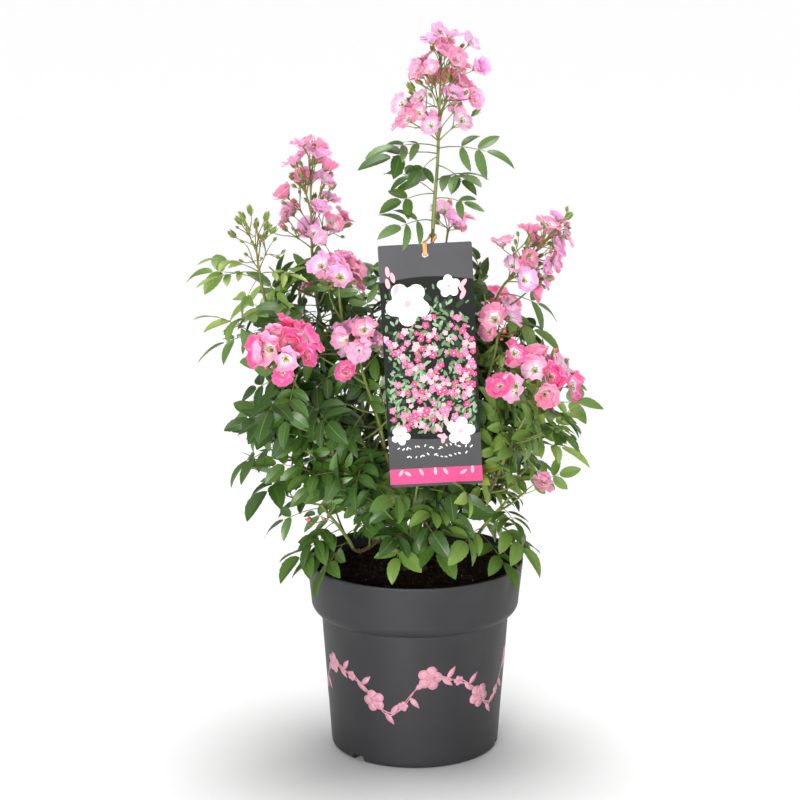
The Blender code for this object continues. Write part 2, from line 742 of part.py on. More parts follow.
def build_pot(finish):
    """The pot: a thin turned shell with a foot ring, notched where water drains."""
    outside = [(MOUTH_RADIUS, POT_HEIGHT), *outer_collar()]
    outside += [
        (BASE_RADIUS, BASE_ROUNDING),
        (BASE_RADIUS - BASE_ROUNDING * 0.3, BASE_ROUNDING * 0.3),
        (BASE_RADIUS - BASE_ROUNDING, 0),
    ]
    hollow = BASE_RADIUS - FOOT_RING_WIDTH
    under = [
        (hollow, 0),
        (hollow, FOOT_RING_HEIGHT),
        (MIDDLE_FOOT_RADIUS, FOOT_RING_HEIGHT),
        (MIDDLE_FOOT_RADIUS, 0),
        (0, 0),
    ]
    inside = inner_wall()
    pot = lathe("pot", [(0, inside[0][1]), *inside, *outside, *under], finish)
    for index, turn in enumerate(NOTCH_TURNS):
        bpy.ops.mesh.primitive_cube_add(size=1)
        cutter = bpy.context.object
        cutter.name = f"notch_cutter_{index}"
        cutter.scale = (NOTCH_WIDTH, 34 * MM, 2 * (FOOT_RING_HEIGHT - 1 * MM))
        cutter.rotation_euler.z = turn
        cutter.location = outward(turn) * (BASE_RADIUS - FOOT_RING_WIDTH / 2)
        cutter.hide_render = True
        cutter.display_type = "WIRE"
        cut = pot.modifiers.new(f"notch_{index}", "BOOLEAN")
        cut.operation = "DIFFERENCE"
        cut.object = cutter
    shade_round(pot)
    return pot


def build_soil(finish):
    """The soil: it fills the pot, with a low mound round the crown."""
    floor, shoulder, collar, mouth = inner_wall(GAP)
    share = (SOIL_Z - collar[1]) / (mouth[1] - collar[1])
    top = (collar[0] + (mouth[0] - collar[0]) * share, SOIL_Z)
    rise = SOIL_Z + SOIL_MOUND
    mound = [(0, rise), (CROWN_FLARE_RADIUS + 4 * MM, rise), (60 * MM, SOIL_Z + 0.4 * SOIL_MOUND)]
    soil = lathe("soil", [*mound, top, collar, shoulder, floor, (0, floor[1])], finish)
    shade_round(soil)
    return soil


def crown_shape():
    """The stump: flat below, flared at its foot, and rounded over at its head."""
    foot = SOIL_Z + SOIL_MOUND + GAP
    heights = [0, 0.15, 0.3, 0.6, 0.9, 1.0]
    radii = [crown_radius_at(share * CROWN_HEIGHT) for share in heights]
    radii[-1] = CROWN_RADIUS * 0.6
    points = [UP * (foot + share * CROWN_HEIGHT) for share in heights]
    return tube(points, [UP] * len(points), radii, CROWN_SIDES)


# ---------------------------------------------------------------- label and strap


def label_matrix():
    """The label's place: its origin is the middle of the card's top edge."""
    return Matrix.Translation(LABEL_TOP) @ Matrix.Rotation(-LABEL_ROLL, 4, "Y")


def build_label(finish):
    """A card with rounded corners and a punched hole."""
    side = LABEL_WIDTH / 2 - LABEL_CORNER
    top, bottom = -LABEL_CORNER, LABEL_CORNER - LABEL_HEIGHT
    outline = []
    for quarter, (x, z) in enumerate(((side, top), (-side, top), (-side, bottom), (side, bottom))):
        for step in range(4):
            turn = math.pi / 2 * (quarter + step / 3)
            round_off = Vector((math.cos(turn), 0, math.sin(turn))) * LABEL_CORNER
            outline.append(Vector((x, 0, z)) + round_off)
    front = Vector((0, -LABEL_THICKNESS / 2, 0))
    count = len(outline)
    points = [p + front for p in outline] + [p - front for p in outline]
    faces = [tuple(reversed(range(count))), tuple(range(count, 2 * count))]
    faces += [(i, (i + 1) % count, (i + 1) % count + count, i + count) for i in range(count)]
    label = mesh_object("label", (points, faces), finish)
    label.matrix_world = label_matrix()
    bpy.ops.mesh.primitive_cylinder_add(vertices=16, radius=LABEL_HOLE_RADIUS, depth=10 * MM)
    cutter = bpy.context.object
    cutter.name = "hole_cutter"
    drop = Matrix.Translation((0, 0, -LABEL_HOLE_DROP))
    cutter.matrix_world = label_matrix() @ drop @ Matrix.Rotation(math.pi / 2, 4, "X")
    cutter.hide_render = True
    cutter.display_type = "WIRE"
    punch = label.modifiers.new("punch", "BOOLEAN")
    punch.operation = "DIFFERENCE"
    punch.object = cutter
    return label


def strap_route(growth):
    """The strap's closed route as (point, direction of its width): it comes through the hole, goes
    over the card's top edge, round the leader's cane and back to the hole."""
    flat, upright = Vector((1, 0, 0)), UP
    slanted = (flat + upright).normalized()
    cane = cane_point(growth.canes["leader"], LABEL_TOP.z + STRAP_RISE)
    around = STEM_RADIUS + STRAP_THICKNESS / 2 + STRAP_SLACK
    off_card = LABEL_THICKNESS / 2 + STRAP_THICKNESS / 2 + GAP
    front = Vector((0, -off_card, 0))
    hole = label_matrix() @ Vector((0, 0, -LABEL_HOLE_DROP))
    edge = label_matrix() @ Vector((0, 0, off_card))
    before = cane - Vector((0, 2 * STEM_RADIUS, 0))
    left, right = before - flat * around, before + flat * around
    outside = hole + STRAP_BULGE * front
    route = [(hole, flat), (outside + UP * MM, flat)]
    route += [(edge + front - UP * 2 * MM, flat), (edge, flat), (edge.lerp(left, 0.5), slanted)]
    route.append((left, upright))
    for step in range(STRAP_BENDS + 1):
        turn = math.pi * step / STRAP_BENDS
        ring = upright.cross(flat) * math.sin(turn) - flat * math.cos(turn)
        route.append((cane + ring * around, upright))
    behind = hole - STRAP_BULGE * front
    route += [(right, upright), (right.lerp(behind, 0.5), slanted), (behind, flat)]
    return route


def cane_point(path, height):
    """The point of a rising cane at a height."""
    points, _ = path
    place = max(step for step in range(len(points) - 1) if points[step].z <= height)
    part = (height - points[place].z) / (points[place + 1].z - points[place].z)
    return points[place].lerp(points[place + 1], part)


def build_strap(growth, finish):
    """The strap: a flat closed band that follows its route, two stretches from point to point."""
    route = strap_route(growth)
    count = len(route)
    centres, widths = [], []
    for index, (here, wide) in enumerate(route):
        before = route[index - 1][0]
        after, wide_after = route[(index + 1) % count]
        later = route[(index + 2) % count][0]
        centres += [here, catmull(before, here, after, later, 0.5)]
        widths += [wide, wide + wide_after]
    corners, faces = [], []
    total = len(centres)
    for index, (centre, wide) in enumerate(zip(centres, widths)):
        along = (centres[(index + 1) % total] - centres[index - 1]).normalized()
        wide = (wide - along * wide.dot(along)).normalized() * STRAP_WIDTH / 2
        thick = along.cross(wide).normalized() * STRAP_THICKNESS / 2
        corners += [centre - wide - thick, centre + wide - thick]
        corners += [centre + wide + thick, centre - wide + thick]
        low, high = 4 * index, 4 * ((index + 1) % total)
        for side in range(4):
            after = (side + 1) % 4
            faces.append((low + side, low + after, high + after, high + side))
    return mesh_object("strap", (corners, faces), finish)


def catmull(before, here, after, later, part):
    """A point on the smooth curve that passes through here and after."""
    square, cube = part * part, part**3
    return (
        here * 2
        + (after - before) * part
        + (before * 2 - here * 5 + after * 4 - later) * square
        + (here * 3 - before - after * 3 + later) * cube
    ) * 0.5


# ---------------------------------------------------------------- the whole plant


def main():
    """Builds every node of the potted rose."""
    clear_scene()
    green = material("leaf green", (0.09, 0.22, 0.05), 0.45)
    pink = material("petal pink", (0.86, 0.16, 0.38), 0.55)
    bark = material("cane bark", (0.24, 0.26, 0.09), 0.6)
    charcoal = material("charcoal polypropylene", (0.07, 0.07, 0.075), 0.5)
    earth = material("potting soil", (0.025, 0.017, 0.011), 0.95)
    card = material("grey card", (0.09, 0.09, 0.10), 0.4)
    tan = material("tan strap", (0.55, 0.33, 0.12), 0.6)

    growth = Growth()
    room = Room()
    around = [build_pot(charcoal), build_soil(earth), build_label(card), build_strap(growth, tan)]
    around.append(mesh_object(CROWN, crown_shape(), bark))
    bpy.context.view_layer.update()
    for obj in around:
        room.add(obj.name, [shape_of(obj)])

    for shoot in SHOOTS:
        points, tangents = growth.canes[shoot.name]
        cane = tube(points, tangents, growth.cane_radii(shoot), CANE_SIDES)
        shade_round(mesh_object(shoot.name + "_cane", cane, bark), math.radians(75))
        room.add(shoot.name + "_cane", [cane])
    for shoot in SHOOTS:
        room.add(shoot.name + "_foliage", [stem_shape(growth, shoot)])
    for truss in TRUSSES:
        build_truss(growth, truss, room, pink)
    for shoot in SHOOTS:
        build_foliage(growth, shoot, room, green)


main()
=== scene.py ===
"""A rose bush in full bloom in its nursery pot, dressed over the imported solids.

The pot is turned, printed and filled, the label is cut, printed and tied on, and the bush grows by the
same seeded rule as its solids, carried on to finer twigs, single leaflets, petals and stamens.
"""

import logging
from collections.abc import Callable, Iterator, Sequence
from contextlib import contextmanager
from dataclasses import dataclass, field, replace
from enum import Enum
from math import atan2, cos, dist, exp, hypot, pi, radians, sin, sqrt
from random import Random

import bmesh
import bpy
import numpy as np
from bpy.types import Material, Node, NodeSocket, World
from bpy.types import Object as Piece
from mathutils import Matrix, Vector, noise


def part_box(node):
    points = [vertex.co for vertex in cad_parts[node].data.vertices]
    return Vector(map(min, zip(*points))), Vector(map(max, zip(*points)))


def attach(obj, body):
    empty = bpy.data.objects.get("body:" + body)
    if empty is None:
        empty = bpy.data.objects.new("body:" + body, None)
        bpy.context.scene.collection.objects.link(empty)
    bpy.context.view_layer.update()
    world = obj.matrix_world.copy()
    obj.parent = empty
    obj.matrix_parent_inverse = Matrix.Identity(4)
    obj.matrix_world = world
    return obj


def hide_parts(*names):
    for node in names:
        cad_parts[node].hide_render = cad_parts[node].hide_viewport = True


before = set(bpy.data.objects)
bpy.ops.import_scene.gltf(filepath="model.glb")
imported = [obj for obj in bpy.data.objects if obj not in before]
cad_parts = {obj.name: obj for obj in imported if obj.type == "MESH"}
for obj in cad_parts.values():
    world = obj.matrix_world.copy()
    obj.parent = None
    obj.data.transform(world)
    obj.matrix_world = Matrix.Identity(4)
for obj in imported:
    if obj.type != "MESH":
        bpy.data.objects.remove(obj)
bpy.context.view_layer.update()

Pair = tuple[float, float]
Place = tuple[float, float, float]
Face = tuple[int, ...]

MM = 0.001
TURN = 2 * pi
GOLDEN_TURN = radians(137.5)
UP = Vector((0.0, 0.0, 1.0))
BODY = "root"
log = logging.getLogger("potted_rose")


# ---------------- nodes and finishes


def linear(code: str) -> tuple[float, float, float, float]:
    """Turns an sRGB hex value into linear light.

    Args:
        code: Six hex digits, such as "4a4a4c".

    Returns:
        Red, green, blue and a full alpha.
    """
    parts = [int(code[place : place + 2], 16) / 255 for place in (0, 2, 4)]
    light = [part / 12.92 if part <= 0.04045 else ((part + 0.055) / 1.055) ** 2.4 for part in parts]
    return light[0], light[1], light[2], 1.0


def add_node(owner: Material | World, kind: str, inputs: dict, **settings: object) -> Node:
    """Adds one node, with its settings and links.

    Args:
        owner: The material or world that gets the node.
        kind: The node's Blender type.
        inputs: A value or an output socket for each input, by its name or number.
        settings: The node's own attributes.

    Returns:
        The new node.
    """
    node = owner.node_tree.nodes.new(kind)
    for name, value in settings.items():
        setattr(node, name, value)
    for key, value in inputs.items():
        if isinstance(value, NodeSocket):
            owner.node_tree.links.new(value, node.inputs[key])
        else:
            node.inputs[key].default_value = value
    return node


@dataclass(frozen=True)
class Paint:
    """A finish of one even colour."""

    title: str
    colour: str
    roughness: float
    specular: float = field(default=0.5, kw_only=True)

    def build(self) -> Material:
        """Makes the material once and returns it."""
        return bpy.data.materials.get(self.title) or self.make()

    def make(self) -> Material:
        """Makes a material of one shader, with the finish's even values on its own sockets."""
        made = bpy.data.materials.new(self.title)
        made.use_nodes = True
        made.diffuse_color = linear(self.colour)
        for socket, value in self.constants().items():
            made.node_tree.nodes["Principled BSDF"].inputs[socket].default_value = value
        return made

    def constants(self) -> dict[str, object]:
        """The shader's even values, by socket."""
        values = {"Base Color": linear(self.colour), "Roughness": self.roughness}
        return {**values, "Specular IOR Level": self.specular}


@dataclass(frozen=True)
class Skin(Paint):
    """The skin of a small living part. Light may go a little way into it."""

    depth_mm: float = 0.0
    sheen: float = 0.0

    def constants(self) -> dict[str, object]:
        """Adds the light under the skin."""
        values = {"Subsurface Scale": self.depth_mm * MM, "Subsurface Radius": (1.0, 0.6, 0.75)}
        values.update({"Subsurface Weight": 0.8 if self.depth_mm else 0.0, "Sheen Weight": self.sheen})
        return {**super().constants(), **values}


@dataclass(frozen=True)
class Surface(Paint):
    """A finish of two close colours in soft patches, with a fine relief."""

    patches: str
    patch_mm: float
    grain_mm: float
    relief: float
    stretch: Place = (1.0, 1.0, 1.0)

    def make(self) -> Material:
        """Adds the patches and the relief to the plain material."""
        made = super().make()
        shader = made.node_tree.nodes["Principled BSDF"]
        place = add_node(made, "ShaderNodeTexCoord", {}).outputs["Object"]
        scaled = add_node(made, "ShaderNodeMapping", {"Vector": place, "Scale": self.stretch}).outputs[0]
        patch, grain = (
            add_node(made, "ShaderNodeTexNoise", {"Vector": scaled, "Scale": 1 / (mm * MM), "Detail": detail})
            for mm, detail in ((self.patch_mm, 3.0), (self.grain_mm, 2.0))
        )
        spread = {"Value": patch.outputs["Fac"], "From Min": 0.35, "From Max": 0.65}
        share = add_node(made, "ShaderNodeMapRange", spread).outputs[0]
        made.node_tree.links.new(self.colour_of(made, share, place), shader.inputs["Base Color"])
        height = {"Height": grain.outputs["Fac"], "Distance": self.grain_mm * MM * 0.5}
        bump = add_node(made, "ShaderNodeBump", {**height, "Strength": self.relief})
        made.node_tree.links.new(bump.outputs[0], shader.inputs["Normal"])
        return made

    def colour_of(self, made: Material, share: NodeSocket, place: NodeSocket) -> NodeSocket:
        """Mixes the two colours by the patches.

        Args:
            made: The material that gets the nodes.
            share: How far the patch colour shows.
            place: The object coordinates.

        Returns:
            The socket of the mixed colour.
        """
        colours = {0: share, 6: linear(self.colour), 7: linear(self.patches)}
        return add_node(made, "ShaderNodeMix", colours, data_type="RGBA").outputs[2]


@dataclass(frozen=True)
class RoseBark(Surface):
    """Rose bark: green where it is young, and brown towards the soil."""

    old: str = "54402c"
    old_below_mm: float = 215.0
    young_above_mm: float = 420.0

    def colour_of(self, made: Material, share: NodeSocket, place: NodeSocket) -> NodeSocket:
        """Turns the patched green to old bark towards the soil."""
        green = super().colour_of(made, share, place)
        reach = {"Value": add_node(made, "ShaderNodeSeparateXYZ", {0: place}).outputs["Z"]}
        reach.update({"From Min": self.old_below_mm * MM, "From Max": self.young_above_mm * MM})
        age = add_node(made, "ShaderNodeMapRange", {**reach, "To Min": 0.85, "To Max": 0.0}).outputs[0]
        colours = {0: age, 6: green, 7: linear(self.old)}
        return add_node(made, "ShaderNodeMix", colours, data_type="RGBA").outputs[2]


class Finish(Enum):
    """The finishes on the pot, its label and the soil."""

    # Injection-moulded polypropylene: satin, with a faint moulded grain that spreads the highlight.
    POT = Surface("charcoal polypropylene", "252527", 0.5, "2a2a2c", 30, 1.3, 0.05, specular=0.4)
    # Screen-printed ink: flat and even, a little duller than the plastic under it.
    POT_INK = Surface("dusty pink screen ink", "c98a9b", 0.55, "d095a4", 12, 0.9, 0.05)
    # Coated label card: smooth, with a slight varnish sheen.
    CARD = Surface("varnished grey card", "343437", 0.42, "39393c", 40, 1.5, 0.03, specular=0.35)
    # Offset inks on the card: flat, even and thin.
    CARD_NIGHT = Paint("label ink, dark hedge", "0d120d", 0.5, specular=0.15)
    CARD_SHADE = Paint("label ink, hedge in shade", "263c27", 0.5, specular=0.15)
    CARD_LEAF = Paint("label ink, leaf green", "557a48", 0.42)
    CARD_SAGE = Paint("label ink, sage", "86a07c", 0.42)
    CARD_PINK = Paint("label ink, blossom pink", "dd6b9a", 0.42)
    CARD_BLUSH = Paint("label ink, blush", "e9a3ae", 0.42)
    CARD_WHITE = Paint("label ink, petal white", "ece4e2", 0.42)
    CARD_ROSE = Paint("label ink, deep rose", "d42c72", 0.42)
    # Tan paper-yarn strap: dull, with fibres that run along it.
    STRAP = Surface("tan paper strap", "c98f42", 0.75, "dcb27a", 1.6, 0.5, 0.5, (1.0, 1.0, 0.12))
    # Moist potting mix: nearly black peat and bark fines, rough at every scale.
    SOIL = Surface("moist potting mix", "130d09", 0.93, "241710", 7, 2.2, 0.9, specular=0.2)
    CRUMB = Paint("bark crumb", "1f140d", 0.95, specular=0.2)
    CHIP = Paint("bark chip", "3c281a", 0.9, specular=0.2)
    PERLITE = Paint("mineral grit", "857d72", 0.9)


class Wood(Enum):
    """The barks of canes, stems and stalks."""

    # Rose cane: smooth waxy bark in green, streaked along its length, browner with age.
    CANE = RoseBark("rose cane bark", "576030", 0.5, "6a6638", 9, 1.6, 0.25, (1.0, 1.0, 0.25))
    CROWN = RoseBark("rose crown bark", "463627", 0.8, "5d4a36", 6, 1.8, 0.7, (1.0, 1.0, 0.3), "3a2a1d")
    # Green wood: soft stems and leaf stalks, with a waxy bloom.
    STEM = Skin("green rose stem", "6c7a38", 0.48)
    TWIG = Skin("olive flower stalk", "7b7a38", 0.48)
    RED_STEM = Skin("reddish flower stalk", "8b6740", 0.48)
    PRICKLE = Skin("rose prickle", "8e4a38", 0.45)


class Tone(Enum):
    """The greens of the leaves. Each is a waxy blade whose upper side has a soft shine."""

    DEEP = Skin("deep green leaf", "304c1a", 0.42)
    DARK = Skin("dark green leaf", "3b5b1f", 0.42)
    MIDDLE = Skin("mid green leaf", "4a6926", 0.42)
    FRESH = Skin("fresh green leaf", "688539", 0.42)
    COOL = Skin("cool green leaf", "5e7c42", 0.38)
    YOUNG = Skin("young light leaf", "87a04a", 0.4)
    FADING = Skin("yellowing leaf", "8a9638", 0.45)


class Rib(Enum):
    """The lighter midribs of the leaflets."""

    DARK = Skin("leaf midrib", "587c36", 0.45)
    LIGHT = Skin("young leaf midrib", "96ad5c", 0.45)


class Petal(Enum):
    """Petal skins. They are matt and velvety, and light goes through them."""

    CREAM = Skin("petal base cream", "fdf2cc", 0.6, 1.6, 0.2)
    PALE = Skin("petal pale pink", "fee6ef", 0.6, 1.6, 0.2)
    ROSE_SOFT = Skin("petal soft rose pink", "ffc0d9", 0.6, 1.6, 0.2)
    ROSE = Skin("petal rose pink", "ff9fc8", 0.6, 1.6, 0.2)
    LILAC_SOFT = Skin("petal soft lilac pink", "ffc2e6", 0.6, 1.6, 0.2)
    LILAC = Skin("petal lilac pink", "ff9fd9", 0.6, 1.6, 0.2)
    HOT_SOFT = Skin("petal soft hot pink", "fb80ae", 0.6, 1.6, 0.2)
    HOT = Skin("petal hot pink", "f7468b", 0.6, 1.6, 0.2)
    CORAL_SOFT = Skin("petal soft coral pink", "ffadc5", 0.6, 1.6, 0.2)
    CORAL = Skin("petal coral pink", "ff83a7", 0.6, 1.6, 0.2)
    BUD = Skin("petal bud rose", "f0597f", 0.5, 1.0, 0.1)


class Heart(Enum):
    """What sits round and under the petals."""

    # Pollen on thin filaments: dull and grainy, gold when fresh and brown when spent.
    POLLEN = Skin("spent pollen", "a2732a", 0.85)
    FILAMENT = Skin("stamen filament", "dfcb74", 0.6)
    STYLE = Skin("rose styles", "7b7530", 0.8)
    SEPAL = Skin("sepal green", "738a3a", 0.55)
    DRY = Skin("spent sepal", "7a6236", 0.7)


# ---------------- meshes


@dataclass(frozen=True)
class Pattern:
    """A part that is modelled once and copied: its points, its faces, and each face's zone."""

    points: np.ndarray
    faces: tuple[Face, ...]
    zones: tuple[int, ...]


class Batch:
    """Many small parts, joined as one piece."""

    def __init__(self) -> None:
        """Starts with nothing."""
        self.points: list[np.ndarray] = []
        self.faces: list[Face] = []
        self.slots: list[int] = []
        self.finishes: list[Enum] = []
        self.count = 0

    def add(
        self, points: np.ndarray, faces: Sequence[Face], *finishes: Enum, zones: Sequence[int] = ()
    ) -> None:
        """Adds one part.

        Args:
            points: The part's points.
            faces: The part's faces.
            finishes: The finish of each zone.
            zones: Each face's place in finishes, or nothing where there is only one.
        """
        self.finishes += [finish for finish in dict.fromkeys(finishes) if finish not in self.finishes]
        slots = [self.finishes.index(finish) for finish in finishes]
        self.faces += [tuple(corner + self.count for corner in face) for face in faces]
        self.slots += [slots[zone] for zone in zones or [0] * len(faces)]
        self.points.append(points)
        self.count += len(points)

    def copy(self, pattern: Pattern, points: np.ndarray, *finishes: Enum) -> None:
        """Adds a copy of a pattern at these points."""
        self.add(points, pattern.faces, *finishes, zones=pattern.zones)

    def stand(
        self, pattern: Pattern, base: Vector, axis: Vector, side: Vector, size: Sequence[float], *skins: Enum
    ) -> None:
        """Adds a copy of a pattern, set up in space.

        Args:
            pattern: The pattern.
            base: Where its origin goes.
            axis: Where its Z axis points.
            side: Roughly where its X axis points.
            size: Its scale along X, Y and Z.
            skins: The finish of each zone.
        """
        first = (side - axis * side.dot(axis)).normalized()
        axes = np.array([first, axis.cross(first), axis])
        self.copy(pattern, pattern.points * np.array(size) @ axes + np.array(base), *skins)

    def tube(
        self, path: Sequence[Vector], radii: Sequence[float], sides: int, finish: Enum, relief: float = 0.0
    ) -> None:
        """Adds a limb that follows a path, closed at both ends.

        Args:
            path: Points along its middle.
            radii: Its radius at each of them.
            sides: How many sides it has.
            finish: Its finish.
            relief: How far its skin is ridged, as a share of its radius.
        """
        points = np.array([tuple(point) for point in path])
        along = np.gradient(points, axis=0)
        along /= np.linalg.norm(along, axis=1)[:, None]
        first = np.cross(along[0], (0.0, 0.0, 1.0) if abs(along[0][2]) < 0.9 else (1.0, 0.0, 0.0))
        turns = np.arange(sides) * TURN / sides
        rings = []
        for point, way, radius in zip(points, along, radii):
            first = first - way * np.dot(first, way)
            first /= np.linalg.norm(first)
            circle = np.outer(np.cos(turns), first) + np.outer(np.sin(turns), np.cross(way, first))
            swell = np.ones(sides)
            if relief:
                swell = [1 + relief * noise.noise(Vector(point + side * 0.004) * 160) for side in circle]
            rings.append(point + circle * (np.array(swell) * radius)[:, None])
        faces = [tuple(reversed(range(sides)))]
        for low in range(0, (len(points) - 1) * sides, sides):
            for side in range(sides):
                here, after = low + side, low + (side + 1) % sides
                faces.append((here, after, after + sides, here + sides))
        last = (len(points) - 1) * sides
        self.add(np.concatenate(rings), [*faces, tuple(range(last, last + sides))], finish)

    def build(self, name: str, slot: str, nodes: Sequence[str], smooth: bool = True) -> Piece:
        """Joins all the parts and finishes the piece.

        Args:
            name: The piece's name.
            slot: Not used.
            nodes: The solids that it replaces.
            smooth: Whether its faces are shaded round.

        Returns:
            The piece.
        """
        mesh = bpy.data.meshes.new(name)
        mesh.from_pydata(np.concatenate(self.points).tolist(), [], self.faces)
        for finish in self.finishes:
            mesh.materials.append(finish.value.build())
        mesh.polygons.foreach_set("material_index", self.slots)
        mesh.polygons.foreach_set("use_smooth", [smooth] * len(self.faces))
        mesh.update()
        piece = bpy.data.objects.new(name, mesh)
        bpy.context.scene.collection.objects.link(piece)
        return finish_piece(piece, slot, nodes)


def select_only(piece: Piece) -> None:
    """Makes a piece the active one, with nothing else selected."""
    bpy.ops.object.select_all(action="DESELECT")
    piece.select_set(True)
    bpy.context.view_layer.objects.active = piece


def select_all() -> None:
    """Selects the whole of the piece that is open."""
    bpy.ops.mesh.select_all(action="SELECT")


@contextmanager
def editing(piece: Piece) -> Iterator[None]:
    """Opens a piece in edit mode, alone, and closes it again."""
    select_only(piece)
    bpy.ops.object.mode_set(mode="EDIT")
    yield
    bpy.ops.object.mode_set(mode="OBJECT")


def pick(piece: Piece, test: Callable[[Vector], bool], kind: str = "VERT") -> None:
    """Selects, in edit mode, the points or edges that pass a test.

    Args:
        piece: The piece that is open.
        test: Says whether a point counts.
        kind: VERT, or EDGE for the edges whose two ends count.
    """
    bpy.ops.mesh.select_mode(type=kind)
    bpy.ops.mesh.select_all(action="DESELECT")
    shape = bmesh.from_edit_mesh(piece.data)
    for item in shape.verts if kind == "VERT" else shape.edges:
        if all(test(corner.co) for corner in ([item] if kind == "VERT" else item.verts)):
            item.select_set(True)
    shape.select_flush_mode()
    bmesh.update_edit_mesh(piece.data)


def apply_modifiers(piece: Piece) -> None:
    """Applies every modifier of a piece, in order."""
    select_only(piece)
    for modifier in list(piece.modifiers):
        bpy.ops.object.modifier_apply(modifier=modifier.name)


def cut_away(piece: Piece, cutter: Piece) -> None:
    """Takes one piece's shape out of another, and removes it."""
    cut = piece.modifiers.new("cut", "BOOLEAN")
    cut.operation, cut.object = "DIFFERENCE", cutter
    apply_modifiers(piece)
    bpy.data.objects.remove(cutter, do_unlink=True)


def thicken(piece: Piece, thickness: float) -> None:
    """Adds a wall about a piece's faces, half to each side, as a live modifier."""
    wall = piece.modifiers.new("wall", "SOLIDIFY")
    wall.thickness, wall.offset = thickness, 0.0


def harvest(piece: Piece, zone_of: Callable[[Vector, Vector], int] = lambda middle, facing: 0) -> Pattern:
    """Takes a modelled part's mesh as a pattern, and removes the part.

    Args:
        piece: The part, with its place in its mesh.
        zone_of: Says which zone a face with this middle and this normal belongs to.

    Returns:
        The pattern.
    """
    mesh = piece.data
    points = np.array([tuple(vertex.co) for vertex in mesh.vertices])
    faces = tuple(tuple(face.vertices) for face in mesh.polygons)
    zones = tuple(zone_of(face.center, face.normal) for face in mesh.polygons)
    bpy.data.objects.remove(piece, do_unlink=True)
    return Pattern(points, faces, zones)


def grid(name: str, columns: int, rows: int) -> Piece:
    """Adds a flat grid that faces up, with X from 0 to 1 and Y from -0.5 to 0.5."""
    bpy.ops.mesh.primitive_grid_add(x_subdivisions=columns, y_subdivisions=rows, size=1, location=(0.5, 0, 0))
    bpy.ops.object.transform_apply(location=True, rotation=True, scale=True)
    piece = bpy.context.object
    piece.name = piece.data.name = name
    return piece


def reshape_rows(
    piece: Piece, width: Callable[[float], float], place: Callable[[float], float] = lambda x: x
) -> None:
    """Sets the width of each row of a grid, and moves it along X.

    Args:
        piece: The grid, in object mode.
        width: What a row at this X has its width multiplied by.
        place: Where a row at this X goes. Rows only move towards the start.
    """
    rows = sorted({round(vertex.co.x, 4) for vertex in piece.data.vertices})
    with editing(piece):
        for row in rows:
            pick(piece, lambda corner, row=row: abs(corner.x - row) < 0.002)
            bpy.ops.transform.resize(value=(1, width(row), 1), center_override=(0, 0, 0))
            bpy.ops.transform.translate(value=(place(row) - row, 0, 0))


def turned(name: str, profile: Sequence[Pair], steps: int) -> Piece:
    """Turns a profile round the Z axis, as on a lathe.

    Args:
        name: The piece's name.
        profile: Radius and height of each point, in metres.
        steps: How many steps make the whole turn.

    Returns:
        The turned piece, with its faces outwards.
    """
    bpy.ops.mesh.primitive_plane_add(size=MM)
    piece = bpy.context.object
    piece.name = piece.data.name = name
    with editing(piece):
        select_all()
        bpy.ops.mesh.merge(type="CENTER")
        bpy.ops.transform.translate(value=(profile[0][0], 0, profile[0][1]))
        for (radius, height), (after, above) in zip(profile, profile[1:]):
            step = {"value": (after - radius, 0, above - height)}
            bpy.ops.mesh.extrude_region_move(TRANSFORM_OT_translate=step)
        select_all()
        bpy.ops.mesh.spin(steps=steps, angle=TURN, center=(0, 0, 0), axis=(0, 0, 1))
        select_all()
        bpy.ops.mesh.remove_doubles(threshold=0.02 * MM)
        bpy.ops.mesh.normals_make_consistent(inside=False)
    return piece


def finish_piece(piece: Piece, slot: str, nodes: Sequence[str], *finishes: Enum) -> Piece:
    """Dresses a piece, fixes it to the body, and hides the solids that it stands for.

    Args:
        piece: The finished piece.
        slot: Not used.
        nodes: The solids that it replaces.
        finishes: Its finishes, where it has none yet.

    Returns:
        The piece.
    """
    for finish in finishes:
        piece.data.materials.append(finish.value.build())
    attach(piece, BODY)
    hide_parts(*nodes)
    log.info("%s: %d faces", piece.name, len(piece.data.polygons))
    return piece


# ---------------- the rule of growth


@dataclass(frozen=True)
class Shoot:
    """One cane and the leafy stem at its end. Places are in millimetres."""

    name: str
    grows_from: str
    foot: Place
    tip: Place
    leaves: int
    leaf_length: float
    cane_radius: float = 2.9


class Form(Enum):
    """How a truss is built, and how many small heads it has besides those of the solids."""

    SPIRE = 34
    DOME = 12
    BUDS = 14


@dataclass(frozen=True)
class Truss:
    """The blossom at the end of a shoot. Sizes are in millimetres."""

    shoot: str
    form: Form
    heading: Place
    height: float
    spread: float
    blooms: int
    bloom_radius: float
    buds: int
    tints: tuple[Petal, ...]


def metres(place: Sequence[float]) -> Vector:
    """A place given in millimetres, in metres."""
    return Vector(place) * MM


def side_axes(direction: Vector) -> tuple[Vector, Vector]:
    """Two directions at right angles to this one and to each other."""
    helper = UP if abs(direction.z) < 0.9 else Vector((1.0, 0.0, 0.0))
    first = direction.cross(helper).normalized()
    return first, direction.cross(first).normalized()


def beside(direction: Vector, turn: float) -> Vector:
    """The direction at right angles to this one, at a turn round it."""
    first, second = side_axes(direction)
    return first * cos(turn) + second * sin(turn)


def outward(turn: float) -> Vector:
    """The level direction at a turn from the front towards the right."""
    return Vector((sin(turn), -cos(turn), 0.0))


